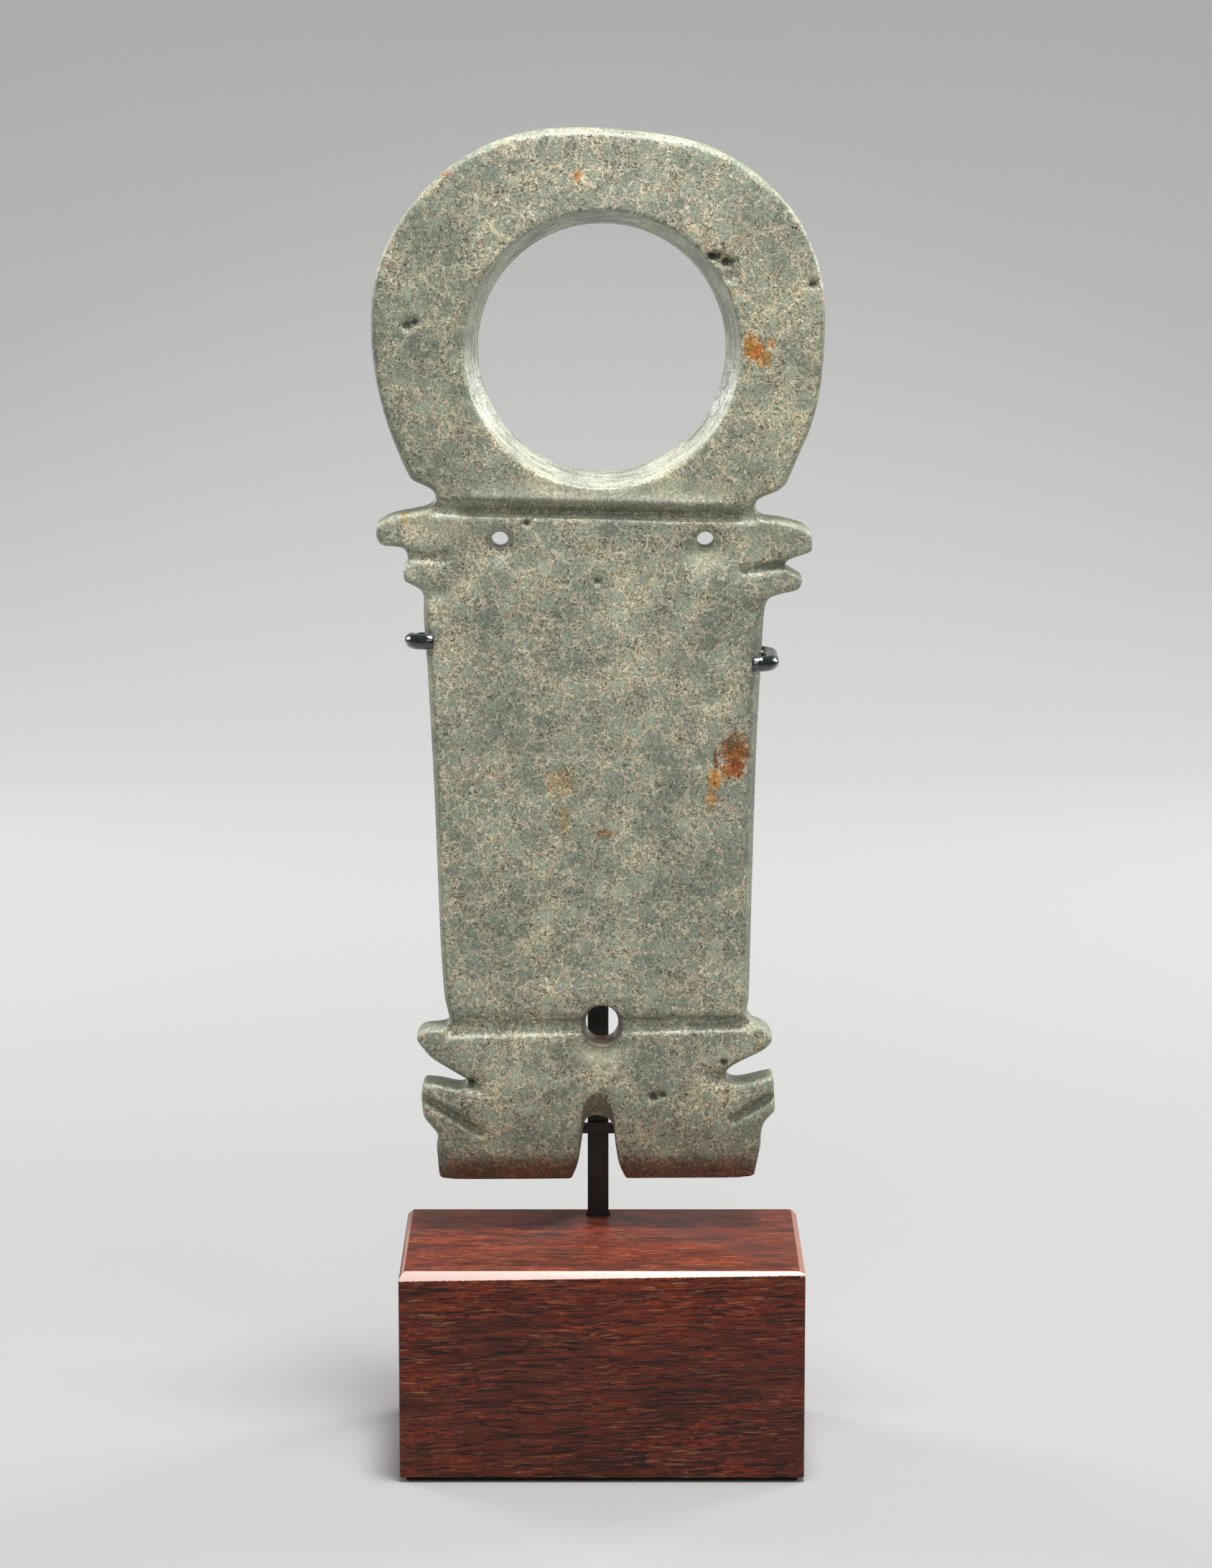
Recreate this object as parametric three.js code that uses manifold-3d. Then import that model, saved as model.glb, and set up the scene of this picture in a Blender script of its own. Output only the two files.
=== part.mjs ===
// A carved jade pendant plate, held upright by a steel armature on a hardwood block.
// Millimetres, +Z up, the face seen from -Y, the origin in the middle of the block's underside.
import * as THREE from "three";
import { mergeVertices } from "three/addons/utils/BufferGeometryUtils.js";
import Module from "manifold-3d";

const wasm = await Module();
wasm.setup();

// Clearances that several pieces share
const seatGap = 0.3;
const overrun = 2;
const half = 0.5;

// Hardwood block and the felt under it
const blockWidth = 89;
const blockDepth = 55;
const woodHeight = 46.6;
const topChamfer = 1.2;
const cornerRound = 0.6;
const baseFeltThickness = 0.8;
const baseFeltInset = 1.2;
const socketLip = 3;

// Square steel post and the brass tube that it stands in
const postWidth = 4.76;
const postEdgeRound = 0.4;
const postOffset = -0.9;
const postFaceDepth = 20.4;
const postHeadroom = 3.4;
const postFootChamfer = 0.5;
const socketWall = 0.6;
const socketFloor = 1;

// Flat bar across the post, just behind the stone's feet
const barLength = 30;
const barHeight = 2.3;
const barThickness = 1.2;
const barRise = 7.7;

// Sheathed wire prongs that curl round the stone's edges
const wireDiameter = 2.4;
const sleeveDiameter = 3.8;
const sleeveWall = 0.4;
const prongBendRadius = 3.2;
const prongOverhang = 1.5;
const wireRecess = 0.7;
const rightProngRise = 117.7;
const prongSpacing = 3.1;
const rightProngGap = 0.3;
const leftProngGap = 1;
const rightTipReach = 2.2;
const leftTipReach = 2;
const leftTipLift = 1.6;
const rightTipDrop = 0.2;
const sleeveStart = 7;
const prongSplay = 12;

// Felt pads between steel and stone
const padThickness = 0.8;
const padHeight = 2;
const barPadLength = 7;
const postPadLength = 9;
const padRound = 0.6;

// Jade plate: overall sizes
const plateThickness = 10.5;
const plateRise = 12;
const edgeBevel = 1.5;
const bevelDepth = 2.4;
const kneeDepthShare = 0.25;
const kneeInsetShare = 0.6;
const soleBevel = 4.8;
const soleBevelDepth = 2.2;

// Jade plate: the ring and its hole
const ringRadius = 49.2;
const ringRise = 33.8;
const ringHoleFaceRadius = 30.6;
const ringHoleWaistRadius = 27.1;
const ringHoleBackRadius = 29.2;
const ringHoleWaistDepth = 7.1;

// Jade plate: the neck, the body and the heads that look outward
const rightNeck = 33.2;
const leftNeck = 36;
const upperHeadFoot = 130;
const upperHeadHeight = 22.6;
const rightSnout = 13;
const leftSnout = 13.4;
const rightWaist = 32.1;
const leftWaist = 33.5;
const lowerHeadFoot = 7.4;
const lowerHeadHeight = 31.4;
const rightFin = 6.7;
const leftFin = 8.2;
const rightFoot = 34.2;
const leftFoot = 36.6;
const rightFootRise = 0.4;

// Jade plate: holes, saw grooves and the arch between the feet
const eyeRadius = 1.93;
const eyeRise = 14.5;
const eyeFlareRadius = 3.5;
const eyeFlareDepth = 0.9;
const rightEye = 22.8;
const leftEye = 22.5;
const lowHoleHeight = 35.2;
const lowHoleFaceRadius = 4.8;
const lowHoleWaistRadius = 3.6;
const lowHoleBackRadius = 4.5;
const lowHoleWaistDepth = 6;
const sawGrooveWidth = 4.2;
const sawGrooveDepth = 1.25;
const neckGrooveHeight = 151;
const neckGrooveFall = 1.8;
const lowGrooveRise = 1.6;
const sawGrooveRunout = 1.5;
const mouthGrooveWidth = 3.2;
const mouthGrooveDepth = 1.1;
const jawGrooveWidth = 2.2;
const jawGrooveDepth = 0.7;
const archWidth = 8.4;
const archHeight = 19.4;
const archOffset = -0.8;
const archRidgeDepth = 6;

// How finely curves are cut
const cornerSteps = 3;
const holeSides = 28;
const ringHoleSides = 72;
const grooveSides = 16;
const wireSides = 5;
const wireSteps = 36;

// Levels and planes worked out from the sizes above
const woodBottom = baseFeltThickness + seatGap;
const woodTop = woodBottom + woodHeight;
const plateFoot = woodTop + plateRise;
const ringCentre = plateFoot + upperHeadFoot + upperHeadHeight + ringRise;
const postFront = postFaceDepth;
const postBack = postFront + postWidth;
const barBack = postFront - seatGap;
const barFront = barBack - barThickness;
const plateBack = barFront - seatGap - padThickness - seatGap;
const plateFront = plateBack - plateThickness;
const rightProngLevel = woodTop + rightProngRise + plateRise;
const leftProngLevel = rightProngLevel + prongSpacing;
const barLevel = woodTop + plateRise + barRise + barHeight * half;

// Corners of the outline, each as outward share, upward share, rounding share and bevel share
const ringShares = [
  [-0.853, -0.582, 0.35, 0.9],
  [-0.903, -0.48, 0.8, 0.8],
  [-0.967, -0.309, 1, 0.6],
  [-1.015, -0.102, 1, 0.6],
  [-1.031, 0.118, 1, 0.6],
  [-1.009, 0.363, 1, 0.6],
  [-0.889, 0.594, 1, 0.6],
  [-0.71, 0.789, 1, 0.6],
  [-0.51, 0.909, 1, 0.7],
  [-0.3, 0.969, 0.8, 0.9],
  [-0.08, 0.98, 1, 1],
  [0.12, 0.965, 0.9, 1],
  [0.384, 0.932, 1, 0.8],
  [0.589, 0.85, 1, 0.6],
  [0.78, 0.702, 1, 0.6],
  [0.905, 0.535, 1, 0.6],
  [0.988, 0.312, 1, 0.6],
  [0.996, 0.09, 1, 0.6],
  [0.976, -0.181, 1, 0.6],
  [0.93, -0.358, 1, 0.6],
  [0.872, -0.484, 0.8, 0.7],
  [0.827, -0.597, 0.5, 0.8],
];
const rightUpperHeadShares = [
  [0.432, 1.123, 0.5, 0.6],
  [0.16, 1.066, 0.7, 0.7],
  [0.017, 0.998, 0.9, 0.9],
  [0.09, 0.864, 0.9, 0.7],
  [0.5, 0.843, 0.7, 0.6],
  [0.905, 0.774, 0.7, 0.6],
  [1.005, 0.696, 0.5, 0.6],
  [1.012, 0.527, 0.35, 0.6],
  [0.624, 0.456, 0.7, 0.5],
  [0.506, 0.4, 0.9, 0.5],
  [0.676, 0.33, 0.7, 0.4],
  [0.864, 0.267, 0.6, 0.4],
  [0.795, 0.155, 0.5, 0.4],
  [0.31, 0.09, 0.7, 0.6],
  [0.211, 0, 0.8, 1],
];
const rightBodyShares = [
  [0.1, 0.93, 0.5, 1.4],
  [0.44, 0.64, 0.5, 1.5],
  [0.66, 0.27, 0.5, 1.3],
  [0.79, 0.02, 0.5, 1],
];
const rightLowerHeadShares = [
  [0.03, 0.985, 0.8, 0.9],
  [0.21, 0.91, 0.8, 0.9],
  [0.71, 0.869, 0.6, 0.6],
  [0.95, 0.778, 0.6, 0.5],
  [0.66, 0.705, 0.5, 0.6],
  [-0.5, 0.581, 0.6, 0.8],
  [-0.72, 0.505, 0.9, 0.8],
  [-0.33, 0.453, 0.8, 0.5],
  [0.53, 0.497, 0.5, 0.5],
  [0.95, 0.518, 0.15, 0.5],
  [1.02, 0.257, 0.25, 0.6],
  [0.63, 0.171, 0.8, 0.6],
  [0.54, 0.081, 0.7, 0.6],
  [0.54, 0, 0.4, 0.5],
];
const leftLowerHeadShares = [
  [0.46, 0, 0.4, 0.5],
  [0.4, 0.082, 0.7, 0.6],
  [0.568, 0.133, 0.8, 0.6],
  [0.82, 0.214, 0.6, 0.6],
  [0.87, 0.386, 0.5, 0.6],
  [0.79, 0.466, 0.5, 0.5],
  [0.36, 0.458, 0.4, 0.5],
  [-0.27, 0.42, 0.8, 0.5],
  [-0.485, 0.47, 0.8, 0.8],
  [-0.18, 0.517, 0.5, 0.8],
  [0.6, 0.645, 0.5, 0.6],
  [1.02, 0.785, 0.6, 0.5],
  [0.83, 0.858, 0.6, 0.5],
  [0.154, 0.879, 0.6, 0.8],
  [0.06, 0.92, 0.8, 0.9],
];
const leftBodyShares = [
  [0.69, 0.03, 0.6, 0.8],
  [0.555, 0.18, 0.5, 0.8],
  [0.365, 0.555, 0.5, 0.9],
  [0.147, 0.84, 0.5, 1],
];
const leftUpperHeadShares = [
  [0.26, -0.07, 0.5, 1],
  [0.235, 0.13, 0.9, 0.9],
  [0.443, 0.205, 0.6, 0.5],
  [0.568, 0.24, 0.4, 0.4],
  [0.584, 0.358, 0.6, 0.4],
  [0.49, 0.471, 0.9, 0.5],
  [0.55, 0.571, 0.7, 0.5],
  [0.957, 0.59, 0.5, 0.6],
  [1.029, 0.68, 0.5, 0.6],
  [1.023, 0.795, 0.5, 0.6],
  [0.772, 0.888, 0.7, 0.6],
  [0.117, 0.955, 0.9, 0.7],
  [0.017, 1.067, 0.9, 0.9],
  [0.117, 1.144, 0.5, 0.7],
];
const soleRoundShare = 0.2;

// Corners of the arch as shares of its width and height, on the face and on its inner ridge
const archFaceShares = [
  [-0.76, -0.2, 0.2],
  [-0.76, 0, 0.6],
  [-0.58, 0.18, 0.8],
  [-0.47, 0.58, 0.8],
  [-0.4, 0.96, 0.9],
  [0.06, 1.06, 0.9],
  [0.38, 0.84, 0.9],
  [0.46, 0.5, 0.8],
  [0.58, 0.16, 0.8],
  [0.79, 0, 0.6],
  [0.79, -0.2, 0.2],
];
const archRidgeShares = [
  [-0.72, -0.2, 0.2],
  [-0.72, 0, 0.6],
  [-0.54, 0.14, 0.8],
  [-0.44, 0.4, 0.8],
  [-0.38, 0.66, 0.9],
  [0.02, 0.69, 0.9],
  [0.4, 0.62, 0.9],
  [0.45, 0.34, 0.8],
  [0.54, 0.14, 0.8],
  [0.73, 0, 0.6],
  [0.73, -0.2, 0.2],
];
const archBackBlendShare = 0.6;

// A closed three.js geometry as a solid that can be joined and cut
function solidOf(geometry) {
  const bare = geometry.index ? geometry.toNonIndexed() : geometry.clone();
  bare.deleteAttribute("normal");
  bare.deleteAttribute("uv");
  const merged = mergeVertices(bare);
  const mesh = new wasm.Mesh({
    numProp: 3,
    vertProperties: merged.attributes.position.array,
    triVerts: new Uint32Array(merged.index.array),
  });
  return new wasm.Manifold(mesh);
}

// A solid's surface as a three.js geometry
function geometryOf(solid) {
  const mesh = solid.getMesh();
  const geometry = new THREE.BufferGeometry();
  geometry.setAttribute("position", new THREE.BufferAttribute(mesh.vertProperties, mesh.numProp));
  geometry.setIndex(new THREE.BufferAttribute(mesh.triVerts, 1));
  geometry.computeVertexNormals();
  return geometry;
}

// A solid through rings of equally many points, each ring anticlockwise as seen from its far end
function loftGeometry(rings, flatten) {
  const count = rings[0].length;
  const positions = rings.flat().flatMap((point) => [point.x, point.y, point.z]);
  const indices = [];
  for (let level = 0; level + 1 < rings.length; level += 1) {
    for (let i = 0; i < count; i += 1) {
      const next = (i + 1) % count;
      const low = level * count;
      const high = low + count;
      indices.push(low + i, low + next, high + next);
      indices.push(low + i, high + next, high + i);
    }
  }
  const top = (rings.length - 1) * count;
  for (const [a, b, c] of THREE.ShapeUtils.triangulateShape(rings[0].map(flatten), [])) {
    indices.push(a, c, b);
  }
  for (const [a, b, c] of THREE.ShapeUtils.triangulateShape(rings.at(-1).map(flatten), [])) {
    indices.push(top + a, top + b, top + c);
  }
  const geometry = new THREE.BufferGeometry();
  geometry.setAttribute("position", new THREE.Float32BufferAttribute(positions, 3));
  geometry.setIndex(indices);
  geometry.computeVertexNormals();
  return geometry;
}

// Corners drawn in by a share of their own bevel, and sunk by a share of their own bevel's depth
function bevelledCorners(corners, insetShare, depthShare) {
  return corners.map((corner, i) => {
    const before = corners.at(i - 1);
    const after = corners[(i + 1) % corners.length];
    const arriving = new THREE.Vector2(corner.x - before.x, corner.z - before.z).normalize();
    const leaving = new THREE.Vector2(after.x - corner.x, after.z - corner.z).normalize();
    const mitre = new THREE.Vector2(arriving.y + leaving.y, -arriving.x - leaving.x);
    const sharpness = Math.max(1 + arriving.dot(leaving), 1);
    mitre.multiplyScalar((insetShare * corner.bevel) / sharpness);
    const sunk = depthShare * corner.bevelDepth;
    return { ...corner, x: corner.x + mitre.x, z: corner.z + mitre.y, sunk };
  });
}

// A smooth ring of points round a polygon of corners, each sunk from the plane at depth y
function roundedRing(corners, y, inward = 1) {
  const placed = corners.map(({ x, z, sunk = 0 }) => new THREE.Vector3(x, y + inward * sunk, z));
  const points = [];
  corners.forEach((corner, i) => {
    const after = corners[(i + 1) % corners.length];
    const place = placed[i];
    const reach = corner.round * half;
    const start = place.clone().lerp(placed.at(i - 1), reach);
    const end = place.clone().lerp(placed[(i + 1) % placed.length], reach);
    const bend = new THREE.QuadraticBezierCurve3(start, place, end);
    const joined = corner.round + after.round === 2;
    const last = joined ? cornerSteps - 1 : cornerSteps;
    for (let step = 0; step <= last; step += 1) {
      points.push(bend.getPoint(step / cornerSteps));
    }
  });
  return points;
}

// Corners of one feature, from shares of its reach and height
function featureCorners(shares, { x, z, reach, height }) {
  return shares.map(([out, up, round, bevelShare]) => ({
    x: x + out * reach,
    z: z + up * height,
    round,
    bevel: edgeBevel * bevelShare,
    bevelDepth: bevelDepth * bevelShare,
  }));
}

// All corners of the plate, clockwise as its face is seen
function plateCorners() {
  const upper = plateFoot + upperHeadFoot;
  const lower = plateFoot + lowerHeadFoot;
  const waist = lower + lowerHeadHeight;
  const rightShoulder = rightNeck + rightSnout * rightUpperHeadShares.at(-1)[0];
  const leftShoulder = leftNeck + leftSnout * leftUpperHeadShares[0][0];
  const ring = { x: 0, z: ringCentre, reach: ringRadius, height: ringRadius };
  const rightUpper = { x: rightNeck, z: upper, reach: rightSnout, height: upperHeadHeight };
  const leftUpper = { x: -leftNeck, z: upper, reach: -leftSnout, height: upperHeadHeight };
  const rightLower = { x: rightWaist, z: lower, reach: rightFin, height: lowerHeadHeight };
  const leftLower = { x: -leftWaist, z: lower, reach: -leftFin, height: lowerHeadHeight };
  const rightBody = {
    x: rightShoulder,
    z: waist,
    reach: rightWaist - rightShoulder,
    height: upper - waist,
  };
  const leftBody = {
    x: -leftShoulder,
    z: waist,
    reach: leftShoulder - leftWaist,
    height: upper - waist,
  };
  const sole = { round: soleRoundShare, bevel: soleBevel, bevelDepth: soleBevelDepth };
  return [
    ...featureCorners(ringShares, ring),
    ...featureCorners(rightUpperHeadShares, rightUpper),
    ...featureCorners(rightBodyShares, rightBody),
    ...featureCorners(rightLowerHeadShares, rightLower),
    { x: rightFoot, z: plateFoot + rightFootRise, ...sole },
    { x: -leftFoot, z: plateFoot, ...sole },
    ...featureCorners(leftLowerHeadShares, leftLower),
    ...featureCorners(leftBodyShares, leftBody),
    ...featureCorners(leftUpperHeadShares, leftUpper),
  ];
}

// The plate before its holes and grooves, with softened edges on both faces
function plateBlank() {
  const corners = plateCorners();
  const steps = [
    [0, 1],
    [kneeDepthShare, kneeInsetShare],
    [1, 0],
  ];
  const levels = steps.map(([depth, inset]) => bevelledCorners(corners, inset, depth));
  const front = levels.map((level) => roundedRing(level, plateFront));
  const back = levels.map((level) => roundedRing(level, plateBack, -1));
  const flatten = (point) => new THREE.Vector2(point.z, point.x);
  return solidOf(loftGeometry([...front, ...back.reverse()], flatten));
}

// A turned cutter on an axis through the plate, as radius and depth pairs from the face
function turnedCutter(profile, sides, x, z) {
  const points = profile.map(([radius, depth]) => new THREE.Vector2(radius, depth));
  const geometry = new THREE.LatheGeometry(points, sides);
  geometry.translate(x, plateFront, z);
  return solidOf(geometry);
}

// A hole drilled from both faces, so that it narrows to a waist inside
function waistedHole({ faceRadius, waistRadius, backRadius, waistDepth, sides, x, z }) {
  const profile = [
    [0, -overrun],
    [faceRadius, -overrun],
    [faceRadius, 0],
    [waistRadius, waistDepth],
    [backRadius, plateThickness],
    [backRadius, plateThickness + overrun],
    [0, plateThickness + overrun],
  ];
  return turnedCutter(profile, sides, x, z);
}

// A gouge in the plate's face between two points, as wide and deep at each end as asked
function gouge(from, to) {
  const ends = [from, to].map(({ x, z, width, depth }) => {
    const halfWidth = width * half;
    const radius = (halfWidth * halfWidth + depth * depth) / (depth + depth);
    return { radius, centre: new THREE.Vector3(x, plateFront - radius + depth, z) };
  });
  const along = ends[1].centre.clone().sub(ends[0].centre);
  const geometry = new THREE.CylinderGeometry(
    ends[1].radius,
    ends[0].radius,
    along.length(),
    grooveSides,
  );
  geometry.translate(0, along.length() * half, 0);
  const up = new THREE.Vector3(0, 1, 0);
  geometry.applyQuaternion(new THREE.Quaternion().setFromUnitVectors(up, along.normalize()));
  geometry.translate(...ends[0].centre.toArray());
  return solidOf(geometry);
}

// Two string-sawn grooves across the face, one under the ring and one through the lower hole
function sawGrooves() {
  const size = { width: sawGrooveWidth, depth: sawGrooveDepth };
  const neck = plateFoot + neckGrooveHeight;
  const low = plateFoot + lowHoleHeight;
  return [
    gouge(
      { x: -leftNeck - sawGrooveRunout, z: neck + neckGrooveFall * half, ...size },
      { x: rightNeck + sawGrooveRunout, z: neck - neckGrooveFall * half, ...size },
    ),
    gouge(
      { x: -leftWaist - sawGrooveRunout, z: low - lowGrooveRise * half, ...size },
      { x: rightWaist + sawGrooveRunout, z: low + lowGrooveRise * half, ...size },
    ),
  ];
}

// Where each carved line of a head starts and ends, as shares of the head's reach and height
const carvedLineShares = [
  { head: "rightUpper", line: "mouth", from: [0.55, 0.415], to: [-0.09, 0.372] },
  { head: "leftUpper", line: "mouth", from: [0.5, 0.515], to: [-0.05, 0.478] },
  { head: "rightLower", line: "mouth", from: [-0.6, 0.505], to: [-1.5, 0.54] },
  { head: "leftLower", line: "mouth", from: [-0.4, 0.47], to: [-1, 0.38] },
  { head: "rightLower", line: "jaw", from: [1.1, 0.4], to: [-0.35, 0.25] },
  { head: "leftLower", line: "jaw", from: [0.95, 0.37], to: [-0.72, 0.162] },
];
const taperShare = 0.15;

// The mouth and jaw lines of the four heads, each fading out towards the body
function headLines() {
  const upper = plateFoot + upperHeadFoot;
  const lower = plateFoot + lowerHeadFoot;
  const heads = {
    rightUpper: { x: rightNeck, z: upper, reach: rightSnout, height: upperHeadHeight },
    leftUpper: { x: -leftNeck, z: upper, reach: -leftSnout, height: upperHeadHeight },
    rightLower: { x: rightWaist, z: lower, reach: rightFin, height: lowerHeadHeight },
    leftLower: { x: -leftWaist, z: lower, reach: -leftFin, height: lowerHeadHeight },
  };
  const lines = {
    mouth: { width: mouthGrooveWidth, depth: mouthGrooveDepth },
    jaw: { width: jawGrooveWidth, depth: jawGrooveDepth },
  };
  return carvedLineShares.map(({ head, line, from, to }) => {
    const { x, z, reach, height } = heads[head];
    const { width, depth } = lines[line];
    const start = { x: x + from[0] * reach, z: z + from[1] * height, width, depth };
    const end = { x: x + to[0] * reach, z: z + to[1] * height };
    return gouge(start, { ...end, width: width * taperShare, depth: depth * taperShare });
  });
}

// The drilled eyes of the upper heads, each with a shallow flare on the face
function eyeHoles() {
  const profile = [
    [0, -overrun],
    [eyeFlareRadius, -overrun],
    [eyeFlareRadius, 0],
    [eyeRadius, eyeFlareDepth],
    [eyeRadius, plateThickness + overrun],
    [0, plateThickness + overrun],
  ];
  const height = plateFoot + upperHeadFoot + eyeRise;
  return [rightEye, -leftEye].map((x) => turnedCutter(profile, holeSides, x, height));
}

// The arch between the feet, cut from both faces down to a ridge inside
function archCutter() {
  const corners = (shares) =>
    shares.map(([across, up, round]) => ({
      x: archOffset + across * archWidth,
      z: plateFoot + up * archHeight,
      round,
    }));
  const face = corners(archFaceShares);
  const ridge = corners(archRidgeShares);
  const back = face.map((corner, i) => ({
    ...corner,
    x: THREE.MathUtils.lerp(ridge[i].x, corner.x, archBackBlendShare),
    z: THREE.MathUtils.lerp(ridge[i].z, corner.z, archBackBlendShare),
  }));
  const rings = [
    roundedRing(face, plateFront - overrun),
    roundedRing(face, plateFront),
    roundedRing(ridge, plateFront + archRidgeDepth),
    roundedRing(back, plateBack),
    roundedRing(back, plateBack + overrun),
  ];
  return solidOf(loftGeometry(rings, (point) => new THREE.Vector2(point.z, point.x)));
}

function jadePendant() {
  const ringHole = waistedHole({
    faceRadius: ringHoleFaceRadius,
    waistRadius: ringHoleWaistRadius,
    backRadius: ringHoleBackRadius,
    waistDepth: ringHoleWaistDepth,
    sides: ringHoleSides,
    x: 0,
    z: ringCentre,
  });
  const lowHole = waistedHole({
    faceRadius: lowHoleFaceRadius,
    waistRadius: lowHoleWaistRadius,
    backRadius: lowHoleBackRadius,
    waistDepth: lowHoleWaistDepth,
    sides: holeSides,
    x: 0,
    z: plateFoot + lowHoleHeight,
  });
  const cutters = [ringHole, lowHole, archCutter(), ...eyeHoles(), ...sawGrooves(), ...headLines()];
  const plate = cutters.reduce((solid, cutter) => solid.subtract(cutter), plateBlank());
  return geometryOf(plate);
}

// A rectangle with rounded corners, anticlockwise round the middle of the plane
function rectangleCorners(width, height, radius) {
  const points = [];
  const quarter = Math.PI * half;
  const centres = [
    [1, 1],
    [-1, 1],
    [-1, -1],
    [1, -1],
  ];
  centres.forEach(([sideX, sideY], i) => {
    for (let step = 0; step <= cornerSteps; step += 1) {
      const angle = quarter * (i + step / cornerSteps);
      points.push([
        sideX * (width * half - radius) + radius * Math.cos(angle),
        sideY * (height * half - radius) + radius * Math.sin(angle),
      ]);
    }
  });
  return points;
}

// An upright bar or block: each level gives its height and how far it is drawn in
function uprightGeometry({ width, depth, radius, levels }) {
  const rings = levels.map(([z, inset]) =>
    rectangleCorners(width - inset - inset, depth - inset - inset, radius).map(
      ([x, y]) => new THREE.Vector3(x, y, z),
    ),
  );
  return loftGeometry(rings, (point) => new THREE.Vector2(point.x, point.y));
}

// A flat strip that faces the stone: its thickness runs along Y
function stripGeometry({ length, height, thickness, radius }) {
  const rings = [-thickness * half, thickness * half].map((y) =>
    rectangleCorners(length, height, radius).map(([x, z]) => new THREE.Vector3(-x, y, z)),
  );
  return loftGeometry(rings, (point) => new THREE.Vector2(point.z, point.x));
}

function boxSolid(width, depth, low, high, x, y) {
  const geometry = new THREE.BoxGeometry(width, depth, high - low);
  geometry.translate(x, y, (low + high) * half);
  return solidOf(geometry);
}

const postMiddle = postFront + postWidth * half;
const socketBore = postWidth + seatGap + seatGap;
const socketOuter = socketBore + socketWall + socketWall;
const socketTop = woodTop - socketLip - seatGap;

// The block is bored from below for the tube, and a lip at the top fits the post
function woodBase() {
  const block = uprightGeometry({
    width: blockWidth,
    depth: blockDepth,
    radius: cornerRound,
    levels: [
      [woodBottom, 0],
      [woodTop - topChamfer, 0],
      [woodTop, topChamfer],
    ],
  });
  const room = socketOuter + seatGap + seatGap;
  const lipTop = woodTop - socketLip;
  const well = boxSolid(room, room, woodBottom - overrun, lipTop, postOffset, postMiddle);
  const mouth = boxSolid(socketBore, socketBore, socketTop, woodTop + overrun, postOffset, postMiddle);
  return geometryOf(solidOf(block).subtract(well).subtract(mouth));
}

function postSocket() {
  const tube = boxSolid(socketOuter, socketOuter, woodBottom, socketTop, postOffset, postMiddle);
  const floor = woodBottom + socketFloor;
  const bore = boxSolid(socketBore, socketBore, floor, socketTop + overrun, postOffset, postMiddle);
  return geometryOf(tube.subtract(bore));
}

function baseFelt() {
  return uprightGeometry({
    width: blockWidth - baseFeltInset - baseFeltInset,
    depth: blockDepth - baseFeltInset - baseFeltInset,
    radius: cornerRound,
    levels: [
      [0, 0],
      [baseFeltThickness, 0],
    ],
  });
}

function mountPost() {
  const foot = woodBottom + socketFloor + seatGap;
  const top = leftProngLevel + postHeadroom;
  return uprightGeometry({
    width: postWidth,
    depth: postWidth,
    radius: postEdgeRound,
    levels: [
      [foot, postFootChamfer],
      [foot + postFootChamfer, 0],
      [top - postFootChamfer, 0],
      [top, postFootChamfer],
    ],
  });
}

// Half the plate's width at a height on its body, on one side
function bodyEdge(height, side) {
  const corners = plateCorners().filter((corner) => Math.sign(corner.x) === side);
  const sorted = corners.sort((a, b) => a.z - b.z);
  const above = sorted.find((corner) => corner.z > height);
  const below = sorted.findLast((corner) => corner.z <= height);
  const share = (height - below.z) / (above.z - below.z);
  return THREE.MathUtils.lerp(below.x, above.x, share);
}

// The middle line of a prong: from behind the post, forward to the stone's back and round its edge
function prongPath({ side, level, gap, tipReach, tipLift }) {
  const sleeveRadius = sleeveDiameter * half;
  const edge = bodyEdge(level, side);
  const rear = postBack + seatGap + wireDiameter * half;
  const behind = plateBack + seatGap + sleeveRadius;
  const before = plateFront - seatGap - sleeveRadius;
  const outside = edge + side * (gap + sleeveRadius);
  const nearSide = postOffset + side * postWidth * half;
  const farSide = postOffset - side * (postWidth * half + prongOverhang);
  const bend = prongBendRadius;
  const point = (x, y, z) => new THREE.Vector3(x, y, z);
  const line = (a, b) => new THREE.LineCurve3(a, b);
  const turn = (a, b, c) => new THREE.QuadraticBezierCurve3(a, b, c);
  const path = new THREE.CurvePath();
  const start = point(farSide, rear, level);
  const leave = point(nearSide + side * prongOverhang, rear, level);
  const kink = point(nearSide + side * (prongOverhang + bend), rear, level);
  const meet = point(nearSide + side * (prongOverhang + prongSplay), behind, level);
  const settle = point(meet.x + side * bend, behind, level);
  const slope = meet.clone().sub(kink).normalize().multiplyScalar(bend);
  const backCorner = point(outside, behind, level);
  const frontCorner = point(outside, before, level + tipLift);
  path.add(line(start, leave));
  path.add(turn(leave, kink, kink.clone().add(slope)));
  path.add(line(kink.clone().add(slope), meet.clone().sub(slope)));
  path.add(turn(meet.clone().sub(slope), meet, settle));
  const arrive = point(outside - side * bend, behind, level);
  const sideBack = point(outside, behind - bend, level);
  const sideFront = point(outside, before + bend, level + tipLift);
  const rounded = point(outside - side * bend, before, level + tipLift);
  const tip = point(edge - side * tipReach, before, level + tipLift);
  path.add(line(settle, arrive));
  path.add(turn(arrive, backCorner, sideBack));
  path.add(line(sideBack, sideFront));
  path.add(turn(sideFront, frontCorner, rounded));
  path.add(line(rounded, tip));
  return path;
}

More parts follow.
